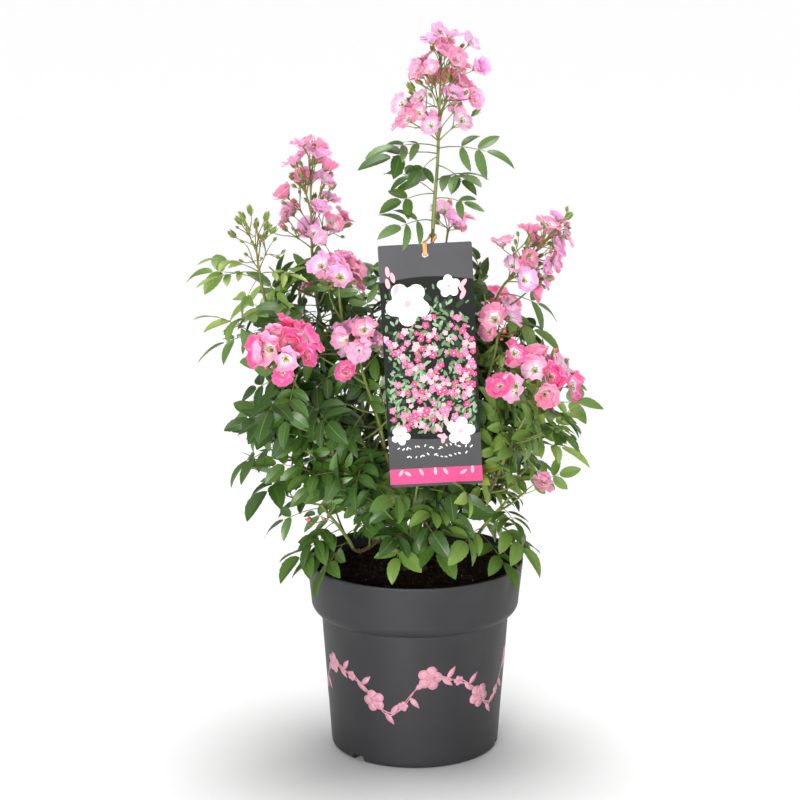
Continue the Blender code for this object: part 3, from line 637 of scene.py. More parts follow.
@dataclass(frozen=True)
class Limb:
    """A smooth curve from a limb's start to its end, with the two handles that set its sweep."""

    start: Vector
    leave: Vector
    arrive: Vector
    end: Vector

    def point(self, share: float) -> Vector:
        """The point at a share of the way."""
        rest = 1 - share
        near = self.start * rest**3 + self.leave * 3 * rest * rest * share
        return near + self.arrive * 3 * rest * share * share + self.end * share**3

    def heading(self, share: float) -> Vector:
        """The direction at a share of the way."""
        rest = 1 - share
        slope = (self.leave - self.start) * rest * rest + (self.arrive - self.leave) * 2 * rest * share
        return (slope + (self.end - self.arrive) * share * share).normalized()

    def path(self, steps: int) -> list[Vector]:
        """Points at even steps, both ends included."""
        return [self.point(step / steps) for step in range(steps + 1)]


@dataclass(frozen=True)
class LeafPlan:
    """One compound leaf: where it starts, where it points, its length and its pairs of leaflets."""

    base: Vector
    along: Vector
    size: float
    pairs: int
    tone: Tone

    def droop(self) -> Vector:
        """The way of the stalk once it has bent down a little."""
        return (self.along - UP * 0.28).normalized()

    def end(self) -> Vector:
        """Where the stalk ends and the end leaflet starts."""
        return self.base + self.droop() * self.size * 0.64

    def tail(self) -> Vector:
        """The way of the end leaflet, which hangs a little more."""
        return (self.droop() - UP * 0.18).normalized()

    def spots(self) -> np.ndarray:
        """Points all along the stalk, the end leaflet and the first two pairs of leaflets."""
        droop, end = self.droop(), self.end()
        across = droop.cross(UP).normalized()
        lines = [(self.base, end), (end, end + (self.tail() - UP * 0.2) * self.size * 0.46)]
        for share, reach in ((0.3, 0.36), (0.54, 0.42))[2 - min(2, self.pairs) :]:
            root = self.base + droop * self.size * share
            for side in (-1, 1):
                way = droop * 0.53 + across * side * 0.85 - UP * 0.3
                lines.append((root, root + way * self.size * reach))
        return np.array([tuple(a.lerp(b, step / 7)) for a, b in lines for step in range(8)])


@dataclass(frozen=True)
class HeadPlan:
    """One blossom or bud on its stalk."""

    root: Vector
    base: Vector
    facing: Vector
    size: float
    opened: bool
    tint: Petal

    def middle(self) -> Vector:
        """The middle of the bowl of petals."""
        return self.base + self.facing * self.size * 0.4


CROWN = "crown"

SHOOTS = (
    Shoot("leader", CROWN, (17, -82, 574), (22, -78, 655), 6, 74, 3.6),
    Shoot("left", CROWN, (-90, 8, 400), (-108, 28, 528), 6, 84, 3.2),
    Shoot("left_bud", "left", (-140, -24, 440), (-160, -34, 520), 5, 84),
    Shoot("mid_left", CROWN, (-54, -34, 374), (-78, -56, 508), 7, 84),
    Shoot("left_front", CROWN, (-88, -78, 350), (-130, -124, 451), 6, 88),
    Shoot("mid_front", "mid_left", (-34, -58, 352), (-58, -74, 446), 6, 80),
    Shoot("mid_low", CROWN, (-32, -42, 288), (-62, -64, 366), 6, 80),
    Shoot("right", CROWN, (58, 0, 380), (92, 2, 500), 6, 84, 3.2),
    Shoot("right_front", CROWN, (58, -32, 350), (84, -46, 455), 6, 80),
    Shoot("right_low", "right_front", (88, -60, 320), (124, -76, 410), 6, 82),
    Shoot("right_side", "right", (98, -6, 300), (124, -14, 378), 6, 74),
    Shoot("left_side", "left", (-116, -28, 308), (-152, -40, 386), 6, 86),
    Shoot("left_low", "left_front", (-66, -44, 230), (-98, -58, 280), 6, 72),
    Shoot("right_foot", CROWN, (62, -40, 236), (98, -58, 288), 6, 74),
    Shoot("front_low", CROWN, (-6, -58, 246), (2, -76, 306), 7, 78),
    Shoot("centre", CROWN, (18, -14, 380), (30, -40, 540), 8, 82, 3.2),
    Shoot("back_left", CROWN, (-58, 66, 350), (-92, 98, 470), 7, 84, 3.2),
    Shoot("back_right", CROWN, (56, 68, 340), (84, 100, 438), 7, 82, 3.2),
    Shoot("back", CROWN, (2, 78, 308), (4, 122, 400), 7, 84),
    Shoot("back_left_low", "back_left", (-74, 50, 256), (-98, 68, 316), 6, 72),
    Shoot("back_right_low", "back_right", (72, 54, 256), (94, 72, 314), 6, 70),
)

WARM = (Petal.ROSE, Petal.HOT, Petal.HOT)
SOFT = (Petal.ROSE, Petal.CORAL, Petal.LILAC)
COOL = (Petal.LILAC, Petal.ROSE, Petal.CORAL, Petal.ROSE)
BRIGHT = (Petal.ROSE, Petal.HOT, Petal.CORAL, Petal.ROSE)

TRUSSES = (
    Truss("leader", Form.SPIRE, (0.03, 0.06, 1), 125, 46, 12, 14.5, 4, SOFT),
    Truss("left", Form.SPIRE, (-0.02, 0.08, 1), 132, 46, 11, 14.5, 4, COOL),
    Truss("left_bud", Form.BUDS, (-0.12, -0.05, 1), 66, 28, 0, 12, 8, SOFT),
    Truss("mid_left", Form.DOME, (0, -0.35, 1), 34, 23, 5, 18, 1, COOL),
    Truss("left_front", Form.DOME, (-0.1, -0.75, 0.9), 34, 32, 8, 18.5, 1, WARM),
    Truss("mid_front", Form.DOME, (-0.1, -0.5, 1), 32, 26, 5, 15.5, 2, SOFT),
    Truss("right", Form.SPIRE, (0.72, 0.12, 0.76), 108, 42, 10, 14.5, 4, COOL),
    Truss("right_front", Form.DOME, (0.1, -0.35, 1), 32, 22, 4, 16, 1, SOFT),
    Truss("right_low", Form.DOME, (0.1, -0.7, 0.8), 34, 40, 8, 17, 2, BRIGHT),
    Truss("centre", Form.DOME, (0.1, 0.1, 1), 52, 24, 4, 13, 2, COOL),
    Truss("back_left", Form.DOME, (-0.2, 0.5, 1), 34, 29, 6, 19, 1, WARM),
    Truss("back_right", Form.DOME, (0.2, 0.5, 1), 34, 28, 5, 18, 1, COOL),
    Truss("back", Form.DOME, (0, 0.8, 0.9), 34, 28, 5, 19, 1, SOFT),
)


@dataclass
class GrowthPlan:
    """Works out every cane, stem, leaf and blossom by the seeded rule that the solids follow."""

    gap: float = 0.3 * MM
    soil_top: float = 193 * MM
    soil_level: float = 188 * MM
    crown_height: float = 42 * MM
    crown_radius: float = 12 * MM
    crown_flare: float = 16 * MM
    tiers: tuple[float, ...] = (14 * MM, 24 * MM, 34 * MM)
    cane_rise: float = 1.2
    cane_sweeps: Pair = (0.16, 0.5)
    side_sweeps: Pair = (0.2, 0.4)
    side_start: float = 0.45
    stem_radius: float = 2.1 * MM
    stem_sweep: float = 0.35
    bowl_depth: float = 0.55
    canes: dict[str, Limb] = field(default_factory=dict)
    stems: dict[str, Limb] = field(default_factory=dict)

    def __post_init__(self) -> None:
        """Lays out the canes from the crown up, then the stems."""
        on_crown = [shoot for shoot in SHOOTS if shoot.grows_from == CROWN]
        on_crown.sort(key=lambda shoot: atan2(shoot.foot[0], -shoot.foot[1]))
        for slot, shoot in enumerate(on_crown):
            self.canes[shoot.name] = self.cane_from_crown(shoot, slot, len(on_crown))
        for shoot in SHOOTS:
            if shoot.grows_from != CROWN:
                self.canes[shoot.name] = self.cane_from_cane(shoot)
            self.stems[shoot.name] = self.stem(shoot)

    def crown_radius_at(self, height: float) -> float:
        """The crown's radius at a height above the soil."""
        flare = max(0.0, 1 - height / (0.3 * self.crown_height))
        return self.crown_radius + (self.crown_flare - self.crown_radius) * flare**2

    def set_off(self, shoot: Shoot) -> Vector:
        """The way the stem leaves its cane."""
        rise = (metres(shoot.tip) - metres(shoot.foot)).normalized()
        return (rise + UP * self.stem_sweep).normalized()

    def cane(self, shoot: Shoot, start: Vector, way: Vector, sweeps: Pair) -> Limb:
        """A cane that starts in this way and ends in line with its stem."""
        foot = metres(shoot.foot)
        reach = (foot - start).length
        arrive = foot - self.set_off(shoot) * sweeps[1] * reach
        return Limb(start, start + way * sweeps[0] * reach, arrive, foot)

    def cane_from_crown(self, shoot: Shoot, slot: int, slots: int) -> Limb:
        """A cane that leaves the crown at its own slot round it."""
        out = outward(TURN * (slot + 0.5) / slots - pi)
        tier = self.tiers[slot % len(self.tiers)]
        clear = self.crown_radius_at(tier - shoot.cane_radius * MM) + self.gap
        start = out * clear + UP * (self.soil_top + tier)
        return self.cane(shoot, start, (out + UP * self.cane_rise).normalized(), self.cane_sweeps)

    def cane_from_cane(self, shoot: Shoot) -> Limb:
        """A side cane that leaves its parent square to it."""
        foot = metres(shoot.foot)
        parent = self.canes[shoot.grows_from]
        joint_z = self.soil_level + self.side_start * (foot.z - self.soil_level)
        place = min((2, 3), key=lambda step: abs(parent.point(step / 6).z - joint_z)) / 6
        joint, along = parent.point(place), parent.heading(place)
        side = foot - joint
        side = (side - along * side.dot(along)).normalized()
        start = joint + side * (self.cane_radius(shoot.grows_from, place) * 0.6)
        return self.cane(shoot, start, side, self.side_sweeps)

    def cane_radius(self, name: str, share: float) -> float:
        """A cane's radius at a share of its length."""
        thick = next(shoot.cane_radius for shoot in SHOOTS if shoot.name == name) * MM
        return thick + (self.stem_radius - thick) * share

    def stem(self, shoot: Shoot) -> Limb:
        """The leafy stem, which goes on from its cane and straightens towards its truss."""
        foot, tip = metres(shoot.foot), metres(shoot.tip)
        sweep = self.stem_sweep * (tip - foot).length
        return Limb(foot, foot + self.set_off(shoot) * sweep, tip - self.tip_heading(shoot) * sweep, tip)

    def tip_heading(self, shoot: Shoot) -> Vector:
        """The way the stem points at its end."""
        for truss in TRUSSES:
            if truss.shoot == shoot.name:
                return (Vector(truss.heading).normalized() + UP * 0.4).normalized()
        return (metres(shoot.tip) - metres(shoot.foot)).normalized()

    def leaf_direction(self, along: Vector, around: float, lift: float) -> Vector:
        """A direction out from a stem: round it by one turn, and raised along it by another."""
        return (beside(along, around) * cos(lift) + along * sin(lift)).normalized()

    def stem_leaves(self, shoot: Shoot) -> list[LeafPlan]:
        """The leaves that the solids show too, up the stem in a golden spiral."""
        rng = Random(shoot.name)
        stem, first_turn = self.stems[shoot.name], rng.uniform(0, TURN)
        leaves = []
        for index in range(shoot.leaves):
            share = (index + 0.5) / shoot.leaves
            around = first_turn + index * GOLDEN_TURN + rng.uniform(-0.3, 0.3)
            lift = radians(rng.uniform(8, 38))
            size = shoot.leaf_length * MM * rng.uniform(0.86, 1.08)
            way = self.leaf_direction(stem.heading(share), around, lift)
            leaves.append(LeafPlan(stem.point(share), way, size, 1 if share > 0.8 else 2, Tone.MIDDLE))
        return leaves

    def heads(self, truss: Truss) -> tuple[Limb, list[HeadPlan]]:
        """A truss's middle stalk, and its blossoms and buds.

        Args:
            truss: The truss.

        Returns:
            The stalk as a straight limb, and the heads in the order of their golden spiral.
        """
        rng = Random(truss.shoot + " truss")
        start = self.stems[truss.shoot].point(1.0)
        height, spread = truss.height * MM, truss.spread * MM
        way = Vector(truss.heading).normalized()
        spire = truss.form is Form.SPIRE
        top = start + way * height * (0.80 if spire else 0.45)
        count = truss.blooms + truss.buds
        opened = [index < truss.blooms for index in range(count)]
        rng.shuffle(opened)
        heads = []
        for index, is_open in enumerate(opened):
            share = (index + 0.5) / count
            ring = beside(way, index * GOLDEN_TURN + rng.uniform(-0.2, 0.2))
            if spire:
                level = 0.16 + 0.78 * share
                reach = spread * (1 - 0.8 * share) * rng.uniform(0.9, 1.0)
                root = start.lerp(top, max(0.06, level - 0.22))
            else:
                reach = spread * sqrt(share) * rng.uniform(0.92, 1.0)
                level = 1 - 0.4 * share * rng.uniform(0.8, 1.2)
                root = start.lerp(top, 0.92 - 0.62 * share)
            place = start + way * height * level + ring * reach
            stalk = (place - root).normalized()
            facing = (ring * 0.7 * reach / spread + way * 0.5 + stalk * 0.5).normalized()
            size = truss.bloom_radius * MM * rng.uniform(0.85, 1.08)
            tint = truss.tints[index % len(truss.tints)]
            heads.append(HeadPlan(root, place - facing * size * self.bowl_depth, facing, size, is_open, tint))
        return Limb(start, start.lerp(top, 1 / 3), start.lerp(top, 2 / 3), top), heads


# ---------------- camera, light and floor


@dataclass(frozen=True)
class Studio:
    """A pale floor in soft light, and the camera in front of the pot."""

    eye_mm: Place = (-16.0, -2600.0, 992.0)
    pitch: float = radians(13.3)
    lens_mm: float = 114.5
    sensor_mm: float = 36.0
    floor_radius: float = 30.0
    floor: Paint = Paint("matt white floor paint", "e7e7e7", 0.9, specular=0.1)
    sky: Pair = (0.3, 10.2)
    overhead: Pair = (0.92, 0.98)
    overhead_way: Place = (0.0, 0.15, 0.989)

    def build(self) -> None:
        """Sets up the camera, the lamps, the surroundings and the floor."""
        scene = bpy.context.scene
        scene.view_settings.view_transform = "Standard"
        lens = bpy.data.cameras.new("camera")
        lens.lens, lens.sensor_width, lens.clip_end = self.lens_mm, self.sensor_mm, 100.0
        scene.camera = self.put(lens, metres(self.eye_mm))
        scene.camera.rotation_euler = (pi / 2 - self.pitch, 0.0, 0.0)
        self.lamp("key_softbox", (-0.75, -3.0, 0.55), 1.1, 84.0)
        self.lamp("fill_softbox", (2.4, -2.2, 0.9), 1.6, 20.0)
        scene.world = self.tent()
        bpy.ops.mesh.primitive_circle_add(vertices=64, radius=self.floor_radius, fill_type="NGON")
        ground = bpy.context.object
        ground.name = "studio_floor"
        ground.data.materials.append(self.floor.build())

    def put(self, device: bpy.types.ID, place: Sequence[float]) -> Piece:
        """Puts a camera or a lamp in its place."""
        made = bpy.data.objects.new(device.name, device)
        made.location = place
        bpy.context.scene.collection.objects.link(made)
        return made

    def lamp(self, name: str, place: Place, size: float, power: float) -> None:
        """Adds a square soft box that looks at the middle of the bush."""
        light = bpy.data.lights.new(name, "AREA")
        light.size, light.energy = size, power
        way = Vector((0.0, 0.0, 0.35)) - Vector(place)
        self.put(light, place).rotation_euler = way.to_track_quat("-Z", "Y").to_euler()

    def tent(self) -> World:
        """Makes a white tent, bright overhead and softer towards the horizon."""
        world = bpy.data.worlds.new("white_tent")
        world.use_nodes = True
        shell = world.node_tree.nodes["Background"]
        shell.inputs["Color"].default_value = linear("ffffff")
        way = add_node(world, "ShaderNodeTexCoord", {}).outputs["Generated"]
        ways = {0: way, 1: self.overhead_way}
        nearness = add_node(world, "ShaderNodeVectorMath", ways, operation="DOT_PRODUCT").outputs["Value"]
        reach = dict(zip(("From Min", "From Max", "To Min", "To Max"), self.overhead + self.sky))
        strength = add_node(world, "ShaderNodeMapRange", {"Value": nearness, **reach}).outputs[0]
        world.node_tree.links.new(strength, shell.inputs["Strength"])
        return world


# ---------------- parts that are copied


@dataclass(frozen=True)
class LeafletShape:
    """A toothed leaflet one unit long, with a narrow rib down its middle. It lies along X, facing up."""

    cells: int = 7
    width: float = 0.5
    rib: float = 0.24
    tooth: Pair = (0.03, 0.038)
    pleat: float = 0.012

    def pattern(self) -> Pattern:
        """Models the leaflet: a grid with a tooth on each edge of its long sides."""
        piece = grid("leaflet", self.cells, 5)
        with editing(piece):
            pick(piece, lambda corner: abs(corner.y) < 0.11)
            bpy.ops.transform.resize(value=(1, self.rib, 1), center_override=(0, 0, 0))
            for row in range(1, self.cells, 2):
                pick(piece, lambda c, n=row: abs(abs(c.y) - 0.3) < 0.01 and abs(c.x * self.cells - n) < 0.1)
                bpy.ops.transform.translate(value=(0, 0, self.pleat))
            for side in (-1, 1):
                for cell in range(self.cells):
                    self.add_tooth(piece, side, (cell + 0.5) / self.cells)
        reshape_rows(piece, self.width_at, lambda x: x ** (1.35 - 0.35 * x))
        return harvest(piece, lambda middle, facing: int(abs(middle.y) < 1e-4))

    def add_tooth(self, piece: Piece, side: int, middle: float) -> None:
        """Draws one edge out to a point that leans towards the tip."""
        reach = 0.6 / self.cells
        pick(piece, lambda c: abs(c.y * side - 0.5) < 0.01 and abs(c.x - middle) < reach, "EDGE")
        lean, out = self.tooth
        bpy.ops.mesh.extrude_edges_move(TRANSFORM_OT_translate={"value": (lean, side * out, 0)})
        bpy.ops.mesh.merge(type="CENTER")

    def width_at(self, share: float) -> float:
        """How wide the blade is at a share of its length: broad below its middle, drawn out at its tip."""
        place = min(1.0, share) ** (1.35 - 0.35 * share)
        return self.width * max(0.03, 2.72 * (place + 0.012) ** 0.62 * max(0.0, 1 - place) ** 0.85)


def curled(
    pattern: Pattern,
    base: Vector,
    along: Vector,
    normal: Vector,
    size: Pair,
    bend: float,
    fold: float,
    twist: float = 0.0,
) -> np.ndarray:
    """Sets up a copy of a blade, arched along its length and folded along its middle.

    Args:
        pattern: The blade, along X.
        base: Where it starts.
        along: Where it sets off to.
        normal: Where its upper side looks.
        size: Its length, and what its width is multiplied by.
        bend: The turn from its start to its tip, downwards.
        fold: How far each half is raised.
        twist: The turn of its tip about its length.

    Returns:
        The copy's points.
    """
    length, breadth = size
    normal = (normal - along * normal.dot(along)).normalized()
    share, side, lift = pattern.points.T
    side = side * breadth
    turn, roll = bend * share, twist * share
    forward, drop = np.sin(turn) / bend, (1 - np.cos(turn)) / bend
    side, lift = side * cos(fold), lift + np.abs(side) * sin(fold)
    side, lift = side * np.cos(roll) - lift * np.sin(roll), side * np.sin(roll) + lift * np.cos(roll)
    ahead, above = forward + lift * np.sin(turn), lift * np.cos(turn) - drop
    spread = np.outer(ahead, along) + np.outer(above, normal) + np.outer(side, normal.cross(along))
    return np.array(base) + spread * length


@dataclass(frozen=True)
class PetalShape:
    """A petal one unit long with a pale foot. It lies along X, and its inner side faces up."""

    widths: tuple[float, ...] = (0.16, 0.42, 0.76, 1.0, 1.06, 0.8)
    thickness: float = 0.02
    corner: float = 0.13
    notch: float = 0.06

    def pattern(self) -> Pattern:
        """Models the petal: a grid and its back, joined all round their rim."""
        columns = len(self.widths) - 1
        piece = grid("petal", columns, 4)
        with editing(piece):
            select_all()
            bpy.ops.mesh.extrude_region_move(TRANSFORM_OT_translate={"value": (0, 0, -self.thickness)})
            pick(piece, lambda corner: abs(corner.y) > 0.49 or not 0.01 < corner.x < 0.99)
            bpy.ops.mesh.remove_doubles(threshold=self.thickness * 1.5)
            select_all()
            bpy.ops.mesh.flip_normals()
            pick(piece, lambda corner: corner.x > 0.99 and abs(corner.y) > 0.49)
            bpy.ops.transform.translate(value=(-self.corner, 0, 0))
            pick(piece, lambda corner: corner.x > 0.99 and abs(corner.y) < 0.01)
            bpy.ops.transform.translate(value=(-self.notch, 0, 0))
        places = np.linspace(0, 1, columns + 1)
        reshape_rows(piece, lambda x: float(np.interp(x, places, self.widths)))
        return harvest(piece, self.zone)

    def zone(self, middle: Vector, facing: Vector) -> int:
        """Cream at the foot, then pale, soft and full tint, with the back apart."""
        return 4 if facing.z < 0 else min(3, int(middle.x * (len(self.widths) - 1)))


@dataclass(frozen=True)
class PetalPose:
    """How one petal stands: the way round, its size, and how it leaves and ends, from the facing."""

    around: float
    length: float
    breadth: float
    leave: float
    arrive: float
    cup: float
    ruffle: float
    phase: float


def opened(pattern: Pattern, base: Vector, facing: Vector, pose: PetalPose) -> np.ndarray:
    """Sets up a copy of a petal, curved out from the middle of its blossom.

    Args:
        pattern: The petal.
        base: The blossom's foot.
        facing: Where the blossom looks.
        pose: How the petal stands.

    Returns:
        The copy's points.
    """
    out = beside(facing, pose.around)
    share, side, lift = pattern.points.T
    sweep = pose.arrive - pose.leave
    turn = pose.leave + sweep * share
    reach = 0.06 + (cos(pose.leave) - np.cos(turn)) / sweep
    rise = (np.sin(turn) - sin(pose.leave)) / sweep
    side = side * pose.breadth
    wave = pose.ruffle * share**2 * np.sin(side * 9 + pose.phase)
    lift = lift + pose.cup * side**2 * 2 + wave
    reach, rise = reach - lift * np.cos(turn), rise + lift * np.sin(turn)
    spread = np.outer(reach, out) + np.outer(rise, facing) + np.outer(side, facing.cross(out))
    return np.array(base) + spread * pose.length


# Profiles of the small turned parts: the points, how many sides, and where the second zone starts.
BUD = ([(0, 0), (0.17, 0.04), (0.3, 0.26), (0.27, 0.52), (0.15, 0.8), (0, 1)], 7, 0.55)
HIP = ([(0, 0), (0.3, 0.12), (0.42, 0.6), (0.34, 1.0), (0, 1.04)], 6, 2.0)
STAMEN = ([(0, 0), (0.035, 0), (0.03, 0.82), (0.11, 0.88), (0.09, 1.0), (0, 1.06)], 3, 0.83)
STYLES = ([(0, 0), (0.5, 0.1), (0.42, 0.7), (0, 1)], 6, 2.0)


def turned_pattern(name: str, shape: tuple[list[Pair], int, float]) -> Pattern:
    """Turns a small part and takes it as a pattern, in two zones: below and above the parting."""
    profile, sides, parting = shape
    return harvest(turned(name, profile, sides), lambda middle, facing: int(middle.z > parting))


class Patterns:
    """The parts that the bush repeats, each modelled once."""

    def __init__(self) -> None:
        """Models every part."""
        sepal = grid("sepal", 3, 2)
        reshape_rows(sepal, lambda x: 0.34 * (0.55 + 1.4 * x) * (1.02 - x))
        prickle = turned("prickle", [(0, 0), (0.3, 0), (0.13, 0.45), (0, 1)], 5)
        with editing(prickle):
            pick(prickle, lambda corner: corner.z > 0.9)
            bpy.ops.transform.translate(value=(-0.35, 0, 0))
        self.sepal, self.prickle = harvest(sepal), harvest(prickle)
        self.leaflet, self.petal = LeafletShape().pattern(), PetalShape().pattern()
        self.bud, self.hip = turned_pattern("bud", BUD), turned_pattern("hip", HIP)
        self.stamen, self.styles = turned_pattern("stamen", STAMEN), turned_pattern("styles", STYLES)


# ---------------- pot


def arc(centre: Pair, radii: Pair, turns: Pair, steps: int) -> list[Pair]:
    """Points of a profile along an arc.

    Args:
        centre: Its middle, as radius and height.
        radii: How far it reaches across and up.
        turns: Where it starts and ends, in degrees from straight out.
        steps: How many stretches it has.

    Returns:
        The points, both ends included.
    """
    ways = [radians(turns[0] + (turns[1] - turns[0]) * step / steps) for step in range(steps + 1)]
    return [(centre[0] + radii[0] * cos(way), centre[1] + radii[1] * sin(way)) for way in ways]


def stretch(start: Pair, end: Pair, steps: int) -> list[Pair]:
    """Points of a profile between two others, both left out."""
    places = [step / steps for step in range(1, steps)]
    return [(start[0] + (end[0] - start[0]) * t, start[1] + (end[1] - start[1]) * t) for t in places]


@dataclass(frozen=True)
class NurseryPot:
    """The moulded pot: tall collar, rounded shoulder, tapered body and notched foot. In millimetres."""

    height: float = 206.0
    wall: float = 2.4
    mouth: float = 115.0
    collar_foot: Pair = (110.5, 161.0)
    body_top: Pair = (100.0, 149.0)
    base: float = 89.5
    rounding: float = 5.0
    lip: float = 1.2
    foot_ring: float = 12.0
    foot_height: float = 8.0
    middle_foot: float = 22.0
    notch: Pair = (19.0, 7.0)
    notch_turns: tuple[float, ...] = (-42.5, 77.5, 197.5)
    steps: int = 120
    smooth_below: float = radians(32)
    dent_turn: float = 61.0
    dent_height: float = 196.0
    dent_depth: float = 1.3
    dent_reach: Pair = (6.0, 12.0)

    def build(self) -> None:
        """Turns the pot, cuts its notches and presses in the mark of its gate."""
        profile = [(radius * MM, height * MM) for radius, height in self.profile()]
        pot = turned("nursery_pot", profile, self.steps)
        self.press_dent(pot)
        for turn in self.notch_turns:
            self.cut_notch(pot, radians(turn))
        select_only(pot)
        bpy.ops.object.shade_smooth_by_angle(angle=self.smooth_below)
        finish_piece(pot, "pot", ["pot"], Finish.POT)

    def profile(self) -> list[Pair]:
        """The section from the middle of the inside, up, over the lip, down and under to the middle."""
        floor = (self.base - self.wall, self.foot_height + self.wall)
        shoulder = (self.body_top[0] - self.wall, self.body_top[1] + 1.5)
        collar = (self.collar_foot[0] - self.wall, self.collar_foot[1] + 1.5)
        points = [(0.0, floor[1]), (40.0, floor[1]), (floor[0] - 3, floor[1]), (floor[0], floor[1] + 3)]
        points += [*stretch(floor, shoulder, 6), shoulder, collar]
        points += stretch(collar, (self.mouth - self.wall, self.height), 5)
        brim = self.height - self.lip
        points += arc((self.mouth - self.wall / 2, brim), (self.wall / 2, self.lip), (180, 0), 6)
        points += stretch((self.mouth, brim), self.collar_foot, 20)
        radii = (self.collar_foot[0] - self.body_top[0], self.collar_foot[1] - self.body_top[1])
        points += arc((self.body_top[0], self.collar_foot[1]), radii, (0, -90), 10)
        points += stretch(self.body_top, (self.base, self.rounding), 16)
        points += arc((self.base - self.rounding, self.rounding), (self.rounding, self.rounding), (0, -90), 6)
        hollow, middle = self.base - self.foot_ring, self.middle_foot
        points += [(hollow + 1, 0), (hollow, 1), (hollow, self.foot_height), (middle, self.foot_height)]
        return points + [(middle, 0.6), (middle - 0.6, 0), (0, 0)]

    def wall_radius(self, height: float) -> float:
        """The outside radius of the body at a height, both in metres."""
        top, low = self.body_top[1] * MM, self.rounding * MM
        share = (height - low) / (top - low)
        return (self.base + (self.body_top[0] - self.base) * share) * MM

    def press_dent(self, pot: Piece) -> None:
        """Sinks a shallow oval into the collar, where the pot was filled in its mould."""
        middle = outward(radians(self.dent_turn))
        for vertex in pot.data.vertices:
            across = vertex.co.dot(UP.cross(middle)) / (self.dent_reach[0] * MM)
            above = (vertex.co.z - self.dent_height * MM) / (self.dent_reach[1] * MM)
            if vertex.co.dot(middle) > 0:
                vertex.co -= middle * self.dent_depth * MM * exp(-(across**2) - above**2)

    def cut_notch(self, pot: Piece, turn: float) -> None:
        """Cuts one drain notch with slanted, rounded cheeks through the foot ring."""
        width, height = self.notch[0] * MM, self.notch[1] * MM
        bpy.ops.mesh.primitive_cube_add(size=1)
        cutter = bpy.context.object
        cutter.scale = (width, 3 * self.foot_ring * MM, 2 * height)
        bpy.ops.object.transform_apply(scale=True)
        with editing(cutter):
            pick(cutter, lambda corner: corner.z > 0)
            bpy.ops.transform.resize(value=(0.78, 1, 1), center_override=(0, 0, 0))
            pick(cutter, lambda corner: corner.z > 0, "EDGE")
            bpy.ops.mesh.bevel(offset=1.8 * MM, segments=3)
        place = outward(turn) * (self.base - self.foot_ring / 2) * MM
        cutter.data.transform(Matrix.Translation(place) @ Matrix.Rotation(turn, 4, "Z"))
        cut_away(pot, cutter)


